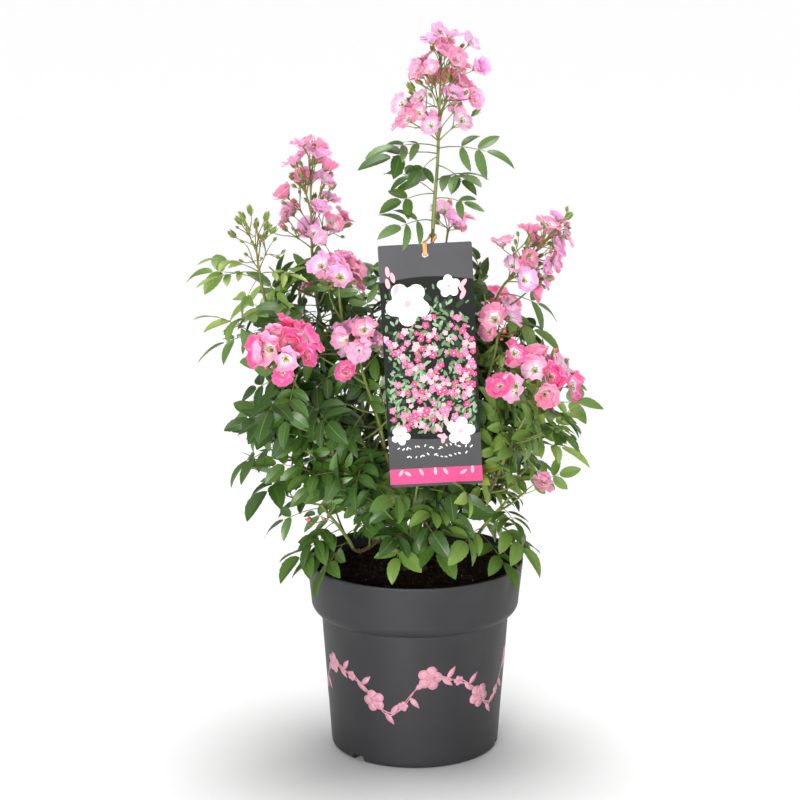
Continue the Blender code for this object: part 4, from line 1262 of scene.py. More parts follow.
@dataclass
class PotPrint:
    """A generic garland of vine, leaves and plain five-petalled flowers, printed round the body."""

    pot: NurseryPot
    middle: float = 86.0
    swing: float = 20.0
    waves: int = 5
    line: float = 1.5
    ink: float = 0.22
    flower: float = 22.0
    leaf: float = 16.0
    art: Batch = field(default_factory=Batch)
    rng: Random = field(default_factory=lambda: Random("garland"))

    def build(self) -> None:
        """Prints the garland a hair proud of the wall."""
        self.vine()
        petal, blade = self.patch((1.0, 0.82, 1.0, 0.9)), self.patch((0.62, 1.0, 0.8, 0.3))
        count = 2 * self.waves
        for crest in range(count):
            size = self.flower * self.rng.uniform(0.85, 1.1)
            self.blossom(petal, self.on_vine((crest + 0.25) / count), size)
            for shift in (-0.3, 0.26):
                for side in (-1, 1):
                    place = self.on_vine((crest + 0.25 + shift + 0.05 * side) / count)
                    heading = side * self.rng.uniform(0.7, 1.0) * self.rng.uniform(0.7, 1.2)
                    self.place_patch(blade, place, heading, (self.leaf, self.leaf * 0.42))
            self.blossom(petal, self.on_vine((crest + 0.78) / count), self.flower * 0.42)
        piece = self.art.build("pot_print", "pot", ["pot"])
        thicken(piece, self.ink * MM)
        apply_modifiers(piece)

    def patch(self, shape: Sequence[float]) -> Pattern:
        """Models a flat rounded patch one unit long, with its widths at four places along it."""
        bpy.ops.mesh.primitive_circle_add(vertices=14, radius=0.5, fill_type="TRIFAN", location=(0.5, 0, 0))
        bpy.ops.object.transform_apply(location=True)
        piece = bpy.context.object
        reshape_rows(piece, lambda x: float(np.interp(x, (0.05, 0.35, 0.65, 0.95), shape)))
        return harvest(piece)

    def on_vine(self, share: float) -> Pair:
        """The vine's place at a share of its way round, as a turn and a height in millimetres."""
        turn = TURN * share
        lift = sin(turn * self.waves) + 0.25 * sin(turn * self.waves * 2 + 1)
        return turn, self.middle + self.swing * lift

    def on_wall(self, turn: float, height: float) -> Place:
        """The point of the wall, lifted by half the ink, at a turn and a height in millimetres."""
        return tuple(outward(turn) * (self.pot.wall_radius(height * MM) + 0.1 * MM) + UP * height * MM)

    def place_patch(self, patch: Pattern, place: Pair, heading: float, size: Pair) -> None:
        """Wraps one patch onto the wall.

        Args:
            patch: The flat patch.
            place: Where it starts, as a turn and a height in millimetres.
            heading: Its direction, from level towards up.
            size: Its length and width in millimetres.
        """
        girth = self.pot.wall_radius(place[1] * MM) / MM
        points = []
        for x, y, _ in patch.points:
            along, across = x * size[0], y * size[1]
            level = along * cos(heading) - across * sin(heading)
            rise = along * sin(heading) + across * cos(heading)
            points.append(self.on_wall(place[0] + level / girth, place[1] + rise))
        self.art.copy(patch, np.array(points), Finish.POT_INK)

    def blossom(self, petal: Pattern, place: Pair, size: float) -> None:
        """Prints five round petals about a place."""
        first = self.rng.uniform(0, pi)
        for index in range(5):
            self.place_patch(petal, place, first + index * TURN / 5, (size * 0.62, size * 0.58))

    def vine(self) -> None:
        """Prints the vine: two fine lines that cross again and again."""
        steps = 60 * self.waves
        for strand in (-1, 1):
            points, faces = [], []
            for step in range(steps):
                turn, height = self.on_vine(step / steps)
                height += strand * 1.6 * sin(step * TURN * 12 * self.waves / steps / 4)
                points += [self.on_wall(turn, height + edge * self.line) for edge in (-0.5, 0.5)]
                low, high = 2 * step, 2 * ((step + 1) % steps)
                faces.append((low, high, high + 1, low + 1))
            self.art.add(np.array(points), faces, Finish.POT_INK)


# ---------------- soil


@dataclass(frozen=True)
class PottingSoil:
    """The moist mix that fills the pot, with crumbs, bark chips and grit on top. In millimetres."""

    pot: NurseryPot
    level: float = 188.0
    mound: float = 5.0
    gap: float = 0.3
    lumps: float = 2.4
    rings: int = 34
    crumbs: int = 2600
    chips: int = 420
    grit: int = 70

    def build(self) -> None:
        """Turns the bed of soil, roughens its top and scatters what lies on it."""
        bed = turned("soil_bed", [(radius * MM, height * MM) for radius, height in self.profile()], 120)
        for vertex in bed.data.vertices:
            if vertex.co.z > (self.level - 0.5) * MM:
                vertex.co.z += self.lump_at(vertex.co)
        finish_piece(bed, "soil", ["soil"], Finish.SOIL)
        bed.data.shade_smooth()
        rng = Random("soil")
        self.scatter("soil_crumbs", self.crumbs, rng, Finish.CRUMB, (0.8, 2.6), (1, 1, 0.8))
        self.scatter("bark_chips", self.chips, rng, Finish.CHIP, (1.2, 2.6), (0.8, 2.6, 0.35))
        self.scatter("mineral_grit", self.grit, rng, Finish.PERLITE, (0.5, 1.1), (1, 1, 1))

    def profile(self) -> list[Pair]:
        """The section from the top of the mound out to the wall, and down it to the floor."""
        pot, inset = self.pot, self.pot.wall + self.gap
        collar = (pot.collar_foot[0] - inset, pot.collar_foot[1] + 1.5 + self.gap)
        share = (self.level - collar[1]) / (pot.height - collar[1])
        edge = collar[0] + (pot.mouth - inset - collar[0]) * share
        radii = [edge * ring / self.rings for ring in range(self.rings)]
        top = [(radius, self.level + self.mound * (1 - (radius / edge) ** 1.6)) for radius in radii]
        shoulder = (pot.body_top[0] - inset, pot.body_top[1] + 1.5 + self.gap)
        floor = (pot.base - inset, pot.foot_height + pot.wall + self.gap)
        return [*top, (edge, self.level), collar, shoulder, floor, (0.0, floor[1])]

    def lump_at(self, place: Vector) -> float:
        """How far the soil stands up at a place: coarse lumps with finer ones on them."""
        coarse = noise.noise(Vector((place.x, place.y, 0.3)) * 90)
        fine = noise.noise(Vector((place.x, place.y, 0.7)) * 260)
        return (coarse + 0.6 * fine) * self.lumps * MM

    def surface_at(self, x: float, y: float) -> Vector:
        """The point of the soil's surface over a place."""
        edge = (self.pot.mouth - 8) * MM
        height = self.level + self.mound * (1 - min(1.0, hypot(x, y) / edge) ** 1.6)
        place = Vector((x, y, height * MM))
        return place + UP * self.lump_at(place)

    def scatter(self, name: str, count: int, rng: Random, finish: Finish, sizes: Pair, shape: Place) -> None:
        """Strews small lumps over the soil, half sunk in it.

        Args:
            name: The piece's name.
            count: How many lumps there are.
            rng: Where its draws come from.
            finish: Their finish.
            sizes: The least and the greatest size.
            shape: Their proportions.
        """
        bpy.ops.mesh.primitive_ico_sphere_add(subdivisions=1, radius=1)
        lump, strewn, reach = harvest(bpy.context.object), Batch(), (self.pot.mouth - 11) * MM
        for _ in range(count):
            turn, out = rng.uniform(0, TURN), sqrt(rng.uniform(0.02, 1)) * reach
            size = rng.uniform(*sizes) * MM
            base = self.surface_at(out * cos(turn), out * sin(turn))
            axis = Vector((rng.gauss(0, 0.35), rng.gauss(0, 0.35), 1)).normalized()
            side = outward(rng.uniform(0, TURN))
            scale = [size * part * rng.uniform(0.75, 1.25) for part in shape]
            strewn.stand(lump, base + UP * size * 0.15, axis, side, scale, finish)
        strewn.build(name, "soil", ["soil"], smooth=False)


# ---------------- label and strap


@dataclass
class PlantLabel:
    """The stiff card on the leader, printed with generic blossom and leaves. In millimetres."""

    top: Place = (8.5, -95.0, 560.0)
    width: float = 94.0
    height: float = 250.0
    thickness: float = 0.9
    roll: float = radians(3.0)
    corner: float = 2.0
    hole_drop: float = 11.0
    hole_radius: float = 3.2
    ink: float = 0.06
    picture: Pair = (38.0, 196.0)
    bow: float = 5.0
    leaves: int = 760
    clusters: int = 52
    greens: tuple[Finish, ...] = (Finish.CARD_SHADE, Finish.CARD_LEAF, Finish.CARD_LEAF, Finish.CARD_SAGE)
    pinks: tuple[Finish, ...] = (Finish.CARD_PINK, Finish.CARD_PINK, Finish.CARD_BLUSH, Finish.CARD_ROSE)
    art: Batch = field(default_factory=Batch)
    rng: Random = field(default_factory=lambda: Random("label"))

    def matrix(self) -> Matrix:
        """The label's place: its origin is the middle of the card's top edge."""
        return Matrix.Translation(metres(self.top)) @ Matrix.Rotation(-self.roll, 4, "Y")

    def build(self) -> None:
        """Cuts the card and prints it, layer over layer."""
        card = self.sheet()
        thicken(card, self.thickness * MM)
        depth, place = 10 * MM, (0, 0, -self.hole_drop * MM)
        bpy.ops.mesh.primitive_cylinder_add(
            vertices=32, radius=self.hole_radius * MM, depth=depth, location=place, rotation=(pi / 2, 0, 0)
        )
        cut_away(card, bpy.context.object)
        card.data.transform(self.matrix())
        finish_piece(card, "label", ["label"], Finish.CARD)
        self.panel(self.picture, Finish.CARD_NIGHT, self.bow)
        self.panel((self.height - 19, self.height - 3), Finish.CARD_ROSE, 0.0)
        self.print_picture()
        self.print_frame()
        self.art.build("label_print", "label", ["label"], smooth=False).data.transform(self.matrix())

    def sheet(self) -> Piece:
        """Adds the flat upright card with rounded corners, which looks to the front."""
        bpy.ops.mesh.primitive_plane_add(size=1)
        piece = bpy.context.object
        piece.name = piece.data.name = "label_card"
        piece.data.transform(Matrix.Diagonal((self.width * MM, self.height * MM, 1, 1)))
        piece.data.transform(Matrix.Rotation(pi / 2, 4, "X"))
        piece.data.transform(Matrix.Translation((0, 0, -self.height / 2 * MM)))
        with editing(piece):
            select_all()
            bpy.ops.mesh.bevel(offset=self.corner * MM, segments=6, affect="VERTICES")
        return piece

    def print_picture(self) -> None:
        """Prints a hedge of leaves with clusters of small flowers, each clear of the others."""
        rng, (first, last), half = self.rng, self.picture, self.width / 2 - 3
        for index in range(self.leaves):
            place = (rng.uniform(-half, half), first + (last - first) * rng.betavariate(2.0, 1.1))
            ink = self.greens[index * len(self.greens) // self.leaves]
            size = rng.uniform(7, 12) if ink is Finish.CARD_SHADE else rng.uniform(3, 8)
            self.leaf(place, size, ink, 1.2 + 2.0 * index / self.leaves)
        taken: list[Pair] = []
        for _ in range(self.clusters):
            middle = (rng.uniform(-half, half), first + (last - first) * rng.betavariate(2.4, 1.5))
            for _ in range(rng.randint(4, 9)):
                place = (middle[0] + rng.gauss(0, 6), middle[1] + rng.gauss(0, 4.5))
                inside = abs(place[0]) < half and first + 34 < place[1] < last - 4
                if inside and all(dist(place, near) > 3.8 for near in taken):
                    ink = rng.choice(self.pinks)
                    self.flower(place, rng.uniform(2.4, 4.4), ink, 3.4 + 0.2 * (len(taken) % 9))
                    taken.append(place)

    def print_frame(self) -> None:
        """Prints large white flowers and sprigs at the picture's corners, and rows of small leaves."""
        (first, last), half = self.picture, self.width / 2 - 3
        flowers = ((-20, first + 22, 23), (22, first + 6, 12), (27, last - 2, 15), (-34, last, 10))
        for across, drop, size in flowers:
            self.flower((across, drop), size, Finish.CARD_WHITE, 6)
        sprigs = ((-38, first + 2, 5), (33, first + 16, 4), (8, last - 6, 5), (40, last - 22, 4))
        for across, drop, count in sprigs:
            for index in range(count):
                place = (across + 5.5 * (index % 2), drop + 6 * index - 8)
                if abs(place[0]) < half - 5:
                    self.leaf(place, 11, Finish.CARD_BLUSH, 6.6 + 0.2 * index)
        for index in range(7):
            self.leaf((-38 + 12.5 * index, self.height - 11.5), 8, Finish.CARD_BLUSH, 3)
        for row, drop in enumerate((last + 14, last + 23)):
            for index in range(17 - 3 * row):
                place = (-38 + 9 * row + 4.6 * index, drop + 1.5 * sin(index * 0.9))
                self.leaf(place, self.rng.uniform(2.5, 4), Finish.CARD_WHITE, 2)

    def layer(self, level: float) -> float:
        """The Y of a printed layer's face, in metres."""
        return -(self.thickness / 2 + self.ink * level) * MM

    def panel(self, drops: Pair, finish: Finish, sag: float) -> None:
        """Prints a panel across the card, first of all layers.

        Args:
            drops: Its upper and lower edge, below the card's top.
            finish: Its ink.
            sag: How far its edges bow.
        """
        columns, half = 16, self.width / 2
        points, faces = [], []
        for column in range(columns + 1):
            across = -half + self.width * column / columns
            bow = sag * sin(pi * column / columns)
            points += [(across * MM, self.layer(1), -drop * MM) for drop in (drops[0] - bow, drops[1] + bow)]
            if column:
                low = 2 * column
                faces.append((low - 2, low - 1, low + 1, low))
        self.art.add(np.array(points), faces, finish)

    def blot(self, place: Pair, size: Pair, heading: float, finish: Finish, level: float) -> None:
        """Prints an oval that starts at a place and runs along a heading."""
        turns = np.arange(12) * TURN / 12
        along, across = (0.5 - 0.5 * np.cos(turns)) * size[0], -0.5 * np.sin(turns) * size[1]
        right = place[0] + along * cos(heading) - across * sin(heading)
        drop = place[1] - along * sin(heading) - across * cos(heading)
        points = np.array([right * MM, np.full(12, self.layer(level)), -drop * MM]).T
        self.art.add(points, [tuple(range(12))], finish)

    def leaf(self, place: Pair, size: float, finish: Finish, level: float) -> None:
        """Prints one leaf at a free heading, kept on the card."""
        heading = self.rng.uniform(0.2, 2.9)
        if abs(place[0] + size * cos(heading)) < self.width / 2 - 1:
            self.blot(place, (size, size * 0.42), heading, finish, level)

    def flower(self, place: Pair, size: float, finish: Finish, level: float) -> None:
        """Prints a flower of five petals with a heart, as far as the card's edge lets it."""
        turns = np.linspace(0, TURN, 41)[:-1]
        reach = size * (0.6 + 0.4 * np.abs(np.cos(2.5 * (turns + self.rng.uniform(0, 2)))) ** 0.7)
        right = np.clip(place[0] + reach * np.cos(turns), 1 - self.width / 2, self.width / 2 - 1)
        drop = place[1] - reach * np.sin(turns)
        right, drop = np.append(right, place[0]), np.append(drop, place[1])
        points = np.array([right * MM, np.full(41, self.layer(level)), -drop * MM]).T
        self.art.add(points, [(40, index, (index + 1) % 40) for index in range(40)], finish)
        tint = Finish.CARD_BLUSH if finish is Finish.CARD_WHITE else Finish.CARD_WHITE
        self.blot((place[0] - size * 0.16, place[1]), (size * 0.32, size * 0.32), 0.0, tint, level + 0.4)


@dataclass(frozen=True)
class LabelStrap:
    """The flat tie: through the hole, over the card's edge, round the leader's cane and back."""

    plan: GrowthPlan
    label: PlantLabel
    width: float = 4.2
    thickness: float = 0.8
    rise: float = 5.0
    slack: float = 0.7
    bulge: float = 1.4
    bends: int = 6
    finer: int = 5

    def build(self) -> None:
        """Sweeps the strap's section along its closed route."""
        route = self.route()
        count = len(route)
        centres, widths = [], []
        for index, (here, wide) in enumerate(route):
            before = route[index - 1][0]
            (after, wide_after), later = route[(index + 1) % count], route[(index + 2) % count][0]
            for part in (step / self.finer for step in range(self.finer)):
                centres.append(self.between(before, here, after, later, part))
                widths.append(wide.lerp(wide_after, part))
        total = len(centres)
        half, thin = self.width * MM / 2, self.thickness * MM / 2
        section = ((-1, -0.5), (-0.93, -1), (0.93, -1), (1, -0.5), (1, 0.5), (0.93, 1), (-0.93, 1), (-1, 0.5))
        points, faces = [], []
        for index, (centre, wide) in enumerate(zip(centres, widths)):
            along = (centres[(index + 1) % total] - centres[index - 1]).normalized()
            wide = (wide - along * wide.dot(along)).normalized()
            thick = along.cross(wide)
            points += [tuple(centre + wide * half * a + thick * thin * b) for a, b in section]
            low, high = 8 * index, 8 * ((index + 1) % total)
            for side in range(8):
                after = (side + 1) % 8
                faces.append((low + side, low + after, high + after, high + side))
        band = Batch()
        band.add(np.array(points), faces, Finish.STRAP)
        band.build("label_strap", "strap", ["strap"])

    def between(self, before: Vector, here: Vector, after: Vector, later: Vector, part: float) -> Vector:
        """A point on the smooth curve that passes through here and after."""
        square = (before * 2 - here * 5 + after * 4 - later) * (part * part)
        cube = (here * 3 - before - after * 3 + later) * part**3
        return (here * 2 + (after - before) * part + square + cube) / 2

    def route(self) -> list[tuple[Vector, Vector]]:
        """The points of the route, each with the direction of the strap's width."""
        level, slanted = Vector((1.0, 0.0, 0.0)), Vector((1.0, 0.0, 1.0)).normalized()
        thin = self.thickness / 2
        height = (self.label.top[2] + self.rise) * MM
        cane = min(self.plan.canes["leader"].path(200), key=lambda point: abs(point.z - height))
        around = (self.plan.stem_radius / MM + thin + self.slack) * MM
        off_card = (self.label.thickness / 2 + thin + 0.3) * MM
        front = Vector((0.0, -off_card, 0.0))
        place = self.label.matrix()
        hole = place @ Vector((0.0, 0.0, -self.label.hole_drop * MM))
        edge = place @ Vector((0.0, 0.0, off_card))
        before = cane - Vector((0.0, 2 * self.plan.stem_radius, 0.0))
        left, right = before - level * around, before + level * around
        route = [(hole, level), (hole + front * self.bulge + UP * MM, level)]
        route += [(edge + front - UP * 2 * MM, level), (edge, level), (edge.lerp(left, 0.5), slanted)]
        route.append((left, UP))
        for turn in (pi * step / self.bends for step in range(self.bends + 1)):
            route.append((cane + (UP.cross(level) * sin(turn) - level * cos(turn)) * around, UP))
        behind = hole - front * self.bulge
        return route + [(right, UP), (right.lerp(behind, 0.5), slanted), (behind, level)]


# ---------------- the bush


@dataclass(frozen=True)
class TrussPlan:
    """A truss laid out: its middle stalk, and its blossoms and buds."""

    truss: Truss
    stalk: Limb
    heads: tuple[HeadPlan, ...]


@dataclass(frozen=True)
class Surroundings:
    """Where leaves and blossom may not be: in the label, the pot and the soil. In metres."""

    label: PlantLabel
    mouth: float = 115 * MM
    rim: float = 206 * MM
    soil: float = 188 * MM
    overhang: float = 45 * MM
    margin: float = 5 * MM

    def clear(self, points: np.ndarray) -> bool:
        """Whether every one of these points is behind or beside the label, and out of pot and soil."""
        x, y, z = points.T
        middle = self.label.matrix() @ Vector((0.0, 0.0, -self.label.height / 2 * MM))
        aside = np.abs(x - middle.x) > self.label.width / 2 * MM + self.margin
        past = np.abs(z - middle.z) > self.label.height / 2 * MM + self.margin
        behind = y > middle.y + self.margin
        out = np.hypot(x, y)
        over = (out < self.mouth - 2 * self.margin) & (z > self.soil + 2 * self.margin)
        above = z > self.rim + 0.6 * self.margin
        outside = (out > self.mouth + 0.6 * self.margin) & (z > self.rim - self.overhang)
        return bool(np.all((aside | past | behind) & (over | above | outside)))


@dataclass
class BushPlan:
    """Adds to the rule of growth what the solids leave out: finer twigs, more leaves and buds."""

    growth: GrowthPlan
    around: Surroundings
    trusses: list[TrussPlan] = field(default_factory=list)
    singles: list[HeadPlan] = field(default_factory=list)
    twigs: list[Limb] = field(default_factory=list)
    leaves: list[LeafPlan] = field(default_factory=list)
    bud_room: float = 8 * MM
    bloom_room: float = 0.56
    leaf_reach: float = 9 * MM
    spray_reach: float = 45 * MM
    skirt: float = 244 * MM
    clear_ahead: Pair = (-6 * MM, 45 * MM)
    twig_lengths: Pair = (26 * MM, 70 * MM)
    spaces: list[tuple[np.ndarray, np.ndarray]] = field(default_factory=list)

    def lay_out(self) -> None:
        """Works out the trusses first, and then the leaves that leave them free."""
        taken: list[HeadPlan] = []
        self.spaces = [(np.array(low), np.array(high)) for low, high in map(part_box, node_names("_foliage"))]
        for truss in TRUSSES:
            stalk, heads = self.growth.heads(truss)
            kept = [head for head in heads if self.has_room(head, taken)]
            rng = Random(truss.shoot + " more")
            wanted = 0 if truss.shoot == "centre" else truss.form.value
            for index in range(wanted * 4):
                head = self.small_head(truss, stalk, rng, index)
                if len(kept) < len(heads) + wanted and self.has_room(head, taken + kept):
                    kept.append(head)
            taken += kept
            self.trusses.append(TrussPlan(truss, stalk, tuple(kept)))
        stalks = {laid.truss.shoot: laid.stalk for laid in self.trusses}
        for shoot, share, spot, way, size, is_open, tint in SINGLES:
            limb, share = (stalks[shoot], share - 1.0) if share > 1.0 else (self.growth.stems[shoot], share)
            root, place = limb.point(share), metres(spot)
            facing = ((place - root).normalized() * 0.5 + Vector(way)).normalized()
            self.singles.append(HeadPlan(root, place, facing, size * MM, is_open, tint))
        taken += self.singles
        for shoot, share, way, size, pairs, tone in SPRAYS:
            base, along = self.growth.stems[shoot].point(share), Vector(way).normalized()
            self.keep_leaf(LeafPlan(base, along, size * MM, pairs, tone), taken, 0.0, self.spray_reach)
        for shoot in SHOOTS:
            self.grow_leaves(shoot, taken)
        log.info("%d heads, %d twigs, %d leaves", len(taken), len(self.twigs), len(self.leaves))

    def has_room(self, head: HeadPlan, taken: Sequence[HeadPlan]) -> bool:
        """Whether a head is clear of the label and far enough from the others."""
        middle = head.middle()
        side, other = side_axes(head.facing)
        rim = [tuple(middle + way * head.size * 0.8) for way in (side, -side, other, -other)]
        if not self.around.clear(np.array(rim)):
            return False
        for near in taken:
            room = (head.size + near.size) * self.bloom_room
            if not (head.opened and near.opened):
                room = min(room, max(self.bud_room, 0.6 * max(head.size, near.size)))
            if (near.middle() - middle).length < room:
                return False
        return True

    def small_head(self, truss: Truss, stalk: Limb, rng: Random, index: int) -> HeadPlan:
        """One more small blossom or bud, somewhere inside a truss's own outline."""
        way = Vector(truss.heading).normalized()
        share, around = rng.uniform(0.05, 0.97), rng.uniform(0, TURN)
        ring = beside(way, around)
        taper = 1 - 0.8 * share if truss.form is Form.SPIRE else sqrt(1 - share * share)
        reach = truss.spread * MM * taper * rng.uniform(0.5, 1.0)
        place = stalk.start + way * truss.height * MM * (0.12 + 0.85 * share) + ring * reach
        root = stalk.point(max(0.05, min(1.0, share * 1.05 - 0.1)))
        facing = (ring * 0.7 + way * 0.5 + (place - root).normalized() * 0.4).normalized()
        is_open = truss.blooms > 0 and index % 2 == 0
        size = truss.bloom_radius * MM * (rng.uniform(0.66, 0.95) if is_open else rng.uniform(0.4, 0.55))
        tint = truss.tints[index % len(truss.tints)]
        return HeadPlan(root, place - facing * size * 0.5, facing, size, is_open, tint)

    def grow_leaves(self, shoot: Shoot, heads: Sequence[HeadPlan]) -> None:
        """Adds a shoot's own leaves, and side twigs with more."""
        rng = Random(shoot.name + " twigs")
        tones = TONES.get(shoot.name, TONES[""])
        for leaf in self.growth.stem_leaves(shoot):
            self.keep_leaf(replace(leaf, tone=rng.choice(tones)), heads, 0.0, self.leaf_reach)
        cane, stem = self.growth.canes[shoot.name], self.growth.stems[shoot.name]
        turn = rng.uniform(0, TURN)
        for index in range(TWIGS.get(shoot.name, 15)):
            turn += GOLDEN_TURN + rng.uniform(-0.3, 0.3)
            limb = stem if index % 2 else cane
            share = rng.uniform(0.05, 0.8) if limb is stem else rng.uniform(0.22, 0.97)
            start = limb.point(share)
            out = self.growth.leaf_direction(limb.heading(share), turn, radians(rng.uniform(12, 40)))
            length = rng.uniform(*self.twig_lengths)
            end = start + (out + UP * 0.25).normalized() * length
            twig = Limb(start, start + out * length * 0.4, end - (out + UP * 0.5) * length * 0.3, end)
            tone = rng.choice(tones)
            grown = 0
            for place, side in ((0.4, 1), (0.72, -1), (1.0, 0)):
                lift = radians(rng.uniform(25, 50) if side else 75)
                around = side * pi / 2 + rng.uniform(-0.5, 0.5)
                way = self.growth.leaf_direction(twig.heading(place), around, lift)
                size = shoot.leaf_length * MM * rng.uniform(0.68, 0.92)
                leaf = LeafPlan(twig.point(place), way, size, rng.choice((2, 2, 3)), tone)
                grown += self.keep_leaf(leaf, heads, self.skirt, self.leaf_reach)
            if grown:
                self.twigs.append(twig)

    def keep_leaf(self, leaf: LeafPlan, heads: Sequence[HeadPlan], lowest: float, reach: float) -> bool:
        """Keeps a leaf that suits its place.

        Args:
            leaf: The leaf. It stays in a mass's space, and clear of what stands round it.
            heads: The blossoms that it leaves free.
            lowest: The height that it stays above.
            reach: How far it may stand out from a mass's space.

        Returns:
            Whether it was kept.
        """
        spots = leaf.spots()
        inside = any(np.all((spots > low - reach) & (spots < high + reach)) for low, high in self.spaces)
        if spots[:, 2].min() < lowest or not inside or not self.around.clear(spots):
            return False
        for head in heads:
            away = spots - np.array(head.middle())
            ahead = away @ np.array(head.facing)
            aside = np.linalg.norm(away - np.outer(ahead, head.facing), axis=1)
            before, after = self.clear_ahead
            if head.opened and np.any((aside < head.size * 0.8) & (ahead > before) & (ahead < after)):
                return False
        self.leaves.append(leaf)
        return True


# The blossoms and buds listed one by one: the stem, how far up it (past 1, up its truss), the place in
# millimetres, the facing, the radius, whether it is open, and its tint.
SINGLES = (
    ("right_foot", 0.95, (129, -76, 306), (0.2, -0.45, 0.85), 13.0, True, Petal.CORAL),
    ("left_low", 0.7, (-106, -88, 270), (-0.4, -0.6, 0.6), 14.0, False, Petal.ROSE),
    ("mid_front", 1.0, (-70, -100, 428), (0.1, -0.35, 0.9), 12.0, True, Petal.HOT),
    ("right_front", 0.7, (86, -98, 414), (-0.5, -0.5, 0.7), 15.0, True, Petal.HOT),
    ("right_front", 0.85, (98, -92, 446), (0.5, -0.35, 0.8), 14.0, True, Petal.HOT),
    ("mid_front", 1.0, (-47, -74, 454), (0.2, -0.6, 0.7), 15.0, True, Petal.ROSE),
    ("mid_front", 1.0, (-52, -94, 470), (-0.1, -0.7, 0.7), 14.0, True, Petal.CORAL),
    ("mid_left", 1.0, (-94, -76, 532), (-0.5, -0.6, 0.6), 15.0, True, Petal.LILAC),
    ("mid_left", 1.2, (-92, -62, 554), (-0.6, -0.4, 0.7), 13.0, True, Petal.ROSE),
    ("leader", 1.75, (52, -80, 756), (0.6, -0.4, 0.7), 12.0, True, Petal.LILAC),
    ("leader", 1.6, (57, -86, 732), (0.6, -0.6, 0.4), 14.5, True, Petal.LILAC),
    ("leader", 1.7, (38, -96, 742), (0.3, -0.7, 0.5), 12.0, True, Petal.CORAL),
    ("leader", 1.45, (52, -92, 704), (0.6, -0.6, 0.3), 13.0, True, Petal.ROSE),
    ("leader", 1.4, (-12, -88, 697), (-0.6, -0.5, 0.5), 13.0, True, Petal.ROSE),
    ("leader", 1.65, (3, -86, 730), (-0.6, -0.4, 0.6), 12.0, True, Petal.ROSE),
)

# The leaves listed one by one: the stem, how far up it, the heading, the length, the pairs and the tone.
SPRAYS = (
    ("leader", 1.0, (-0.85, -0.35, 0.32), 70, 2, Tone.COOL),
    ("leader", 0.98, (0.9, -0.25, 0.25), 76, 2, Tone.COOL),
    ("leader", 0.88, (-0.5, -0.75, -0.05), 52, 1, Tone.DARK),
    ("leader", 0.78, (0.7, -0.5, -0.12), 50, 1, Tone.DARK),
    ("leader", 0.42, (-0.85, -0.3, 0.12), 56, 1, Tone.MIDDLE),
    ("leader", 0.36, (0.75, -0.4, 0.2), 50, 1, Tone.COOL),
    ("leader", 0.14, (-0.75, -0.5, 0.1), 60, 2, Tone.DARK),
    ("leader", 0.08, (0.7, -0.5, 0.0), 48, 1, Tone.MIDDLE),
    ("left_bud", 1.0, (-0.85, -0.1, 0.6), 62, 2, Tone.YOUNG),
    ("left_bud", 0.99, (-0.85, -0.35, 0.25), 64, 2, Tone.YOUNG),
    ("left_bud", 0.96, (-0.45, -0.6, -0.5), 52, 1, Tone.FRESH),
    ("left_bud", 0.98, (0.8, -0.35, 0.3), 52, 2, Tone.YOUNG),
    ("left_bud", 0.9, (0.65, -0.6, -0.1), 40, 1, Tone.FRESH),
    ("left_bud", 0.2, (-0.95, 0.0, 0.05), 84, 3, Tone.COOL),
    ("left", 0.96, (0.85, -0.2, 0.2), 76, 2, Tone.COOL),
    ("left", 0.75, (0.75, -0.5, -0.1), 66, 2, Tone.DARK),
    ("left", 0.85, (-0.3, -0.9, -0.1), 60, 2, Tone.COOL),
    ("right", 0.75, (0.85, -0.3, -0.05), 76, 2, Tone.FRESH),
    ("right", 0.45, (0.8, -0.5, -0.1), 80, 3, Tone.YOUNG),
    ("right", 0.2, (0.85, -0.45, -0.1), 78, 3, Tone.YOUNG),
    ("right", 0.97, (-0.5, -0.75, 0.3), 70, 2, Tone.FRESH),
    ("right_front", 0.9, (0.7, -0.6, 0.1), 70, 2, Tone.YOUNG),
    ("left_low", 0.15, (-0.5, -0.8, -0.2), 74, 2, Tone.MIDDLE),
    ("left_low", 0.4, (-0.8, -0.5, -0.15), 84, 3, Tone.MIDDLE),
    ("right_foot", 0.15, (0.55, -0.8, -0.2), 74, 2, Tone.MIDDLE),
    ("right_foot", 0.45, (0.75, -0.6, -0.2), 78, 2, Tone.FRESH),
    ("left_low", 0.02, (0.4, -0.85, -0.35), 66, 2, Tone.DARK),
    ("left_low", 0.05, (-0.2, -0.9, -0.3), 70, 2, Tone.MIDDLE),
    ("right_foot", 0.02, (-0.35, -0.85, -0.35), 66, 2, Tone.MIDDLE),
    ("right_foot", 0.05, (0.3, -0.9, -0.3), 70, 2, Tone.DARK),
    ("front_low", 0.02, (0.1, -0.9, -0.4), 76, 2, Tone.DARK),
    ("front_low", 0.05, (-0.75, -0.6, -0.25), 72, 2, Tone.FADING),
    ("front_low", 0.08, (0.5, -0.75, -0.4), 70, 2, Tone.DARK),
    ("front_low", 0.1, (-0.3, -0.9, -0.1), 72, 2, Tone.FRESH),
    ("front_low", 0.2, (0.6, -0.75, -0.1), 74, 2, Tone.MIDDLE),
)
# How many side twigs a shoot has, where that is not the usual number.
TWIGS = {
    "left_bud": 1, "leader": 1, "front_low": 8, "mid_low": 16, "right_front": 12, "right": 10,
    "left_low": 6, "right_foot": 6, "back_left_low": 8, "back_right_low": 8,
}
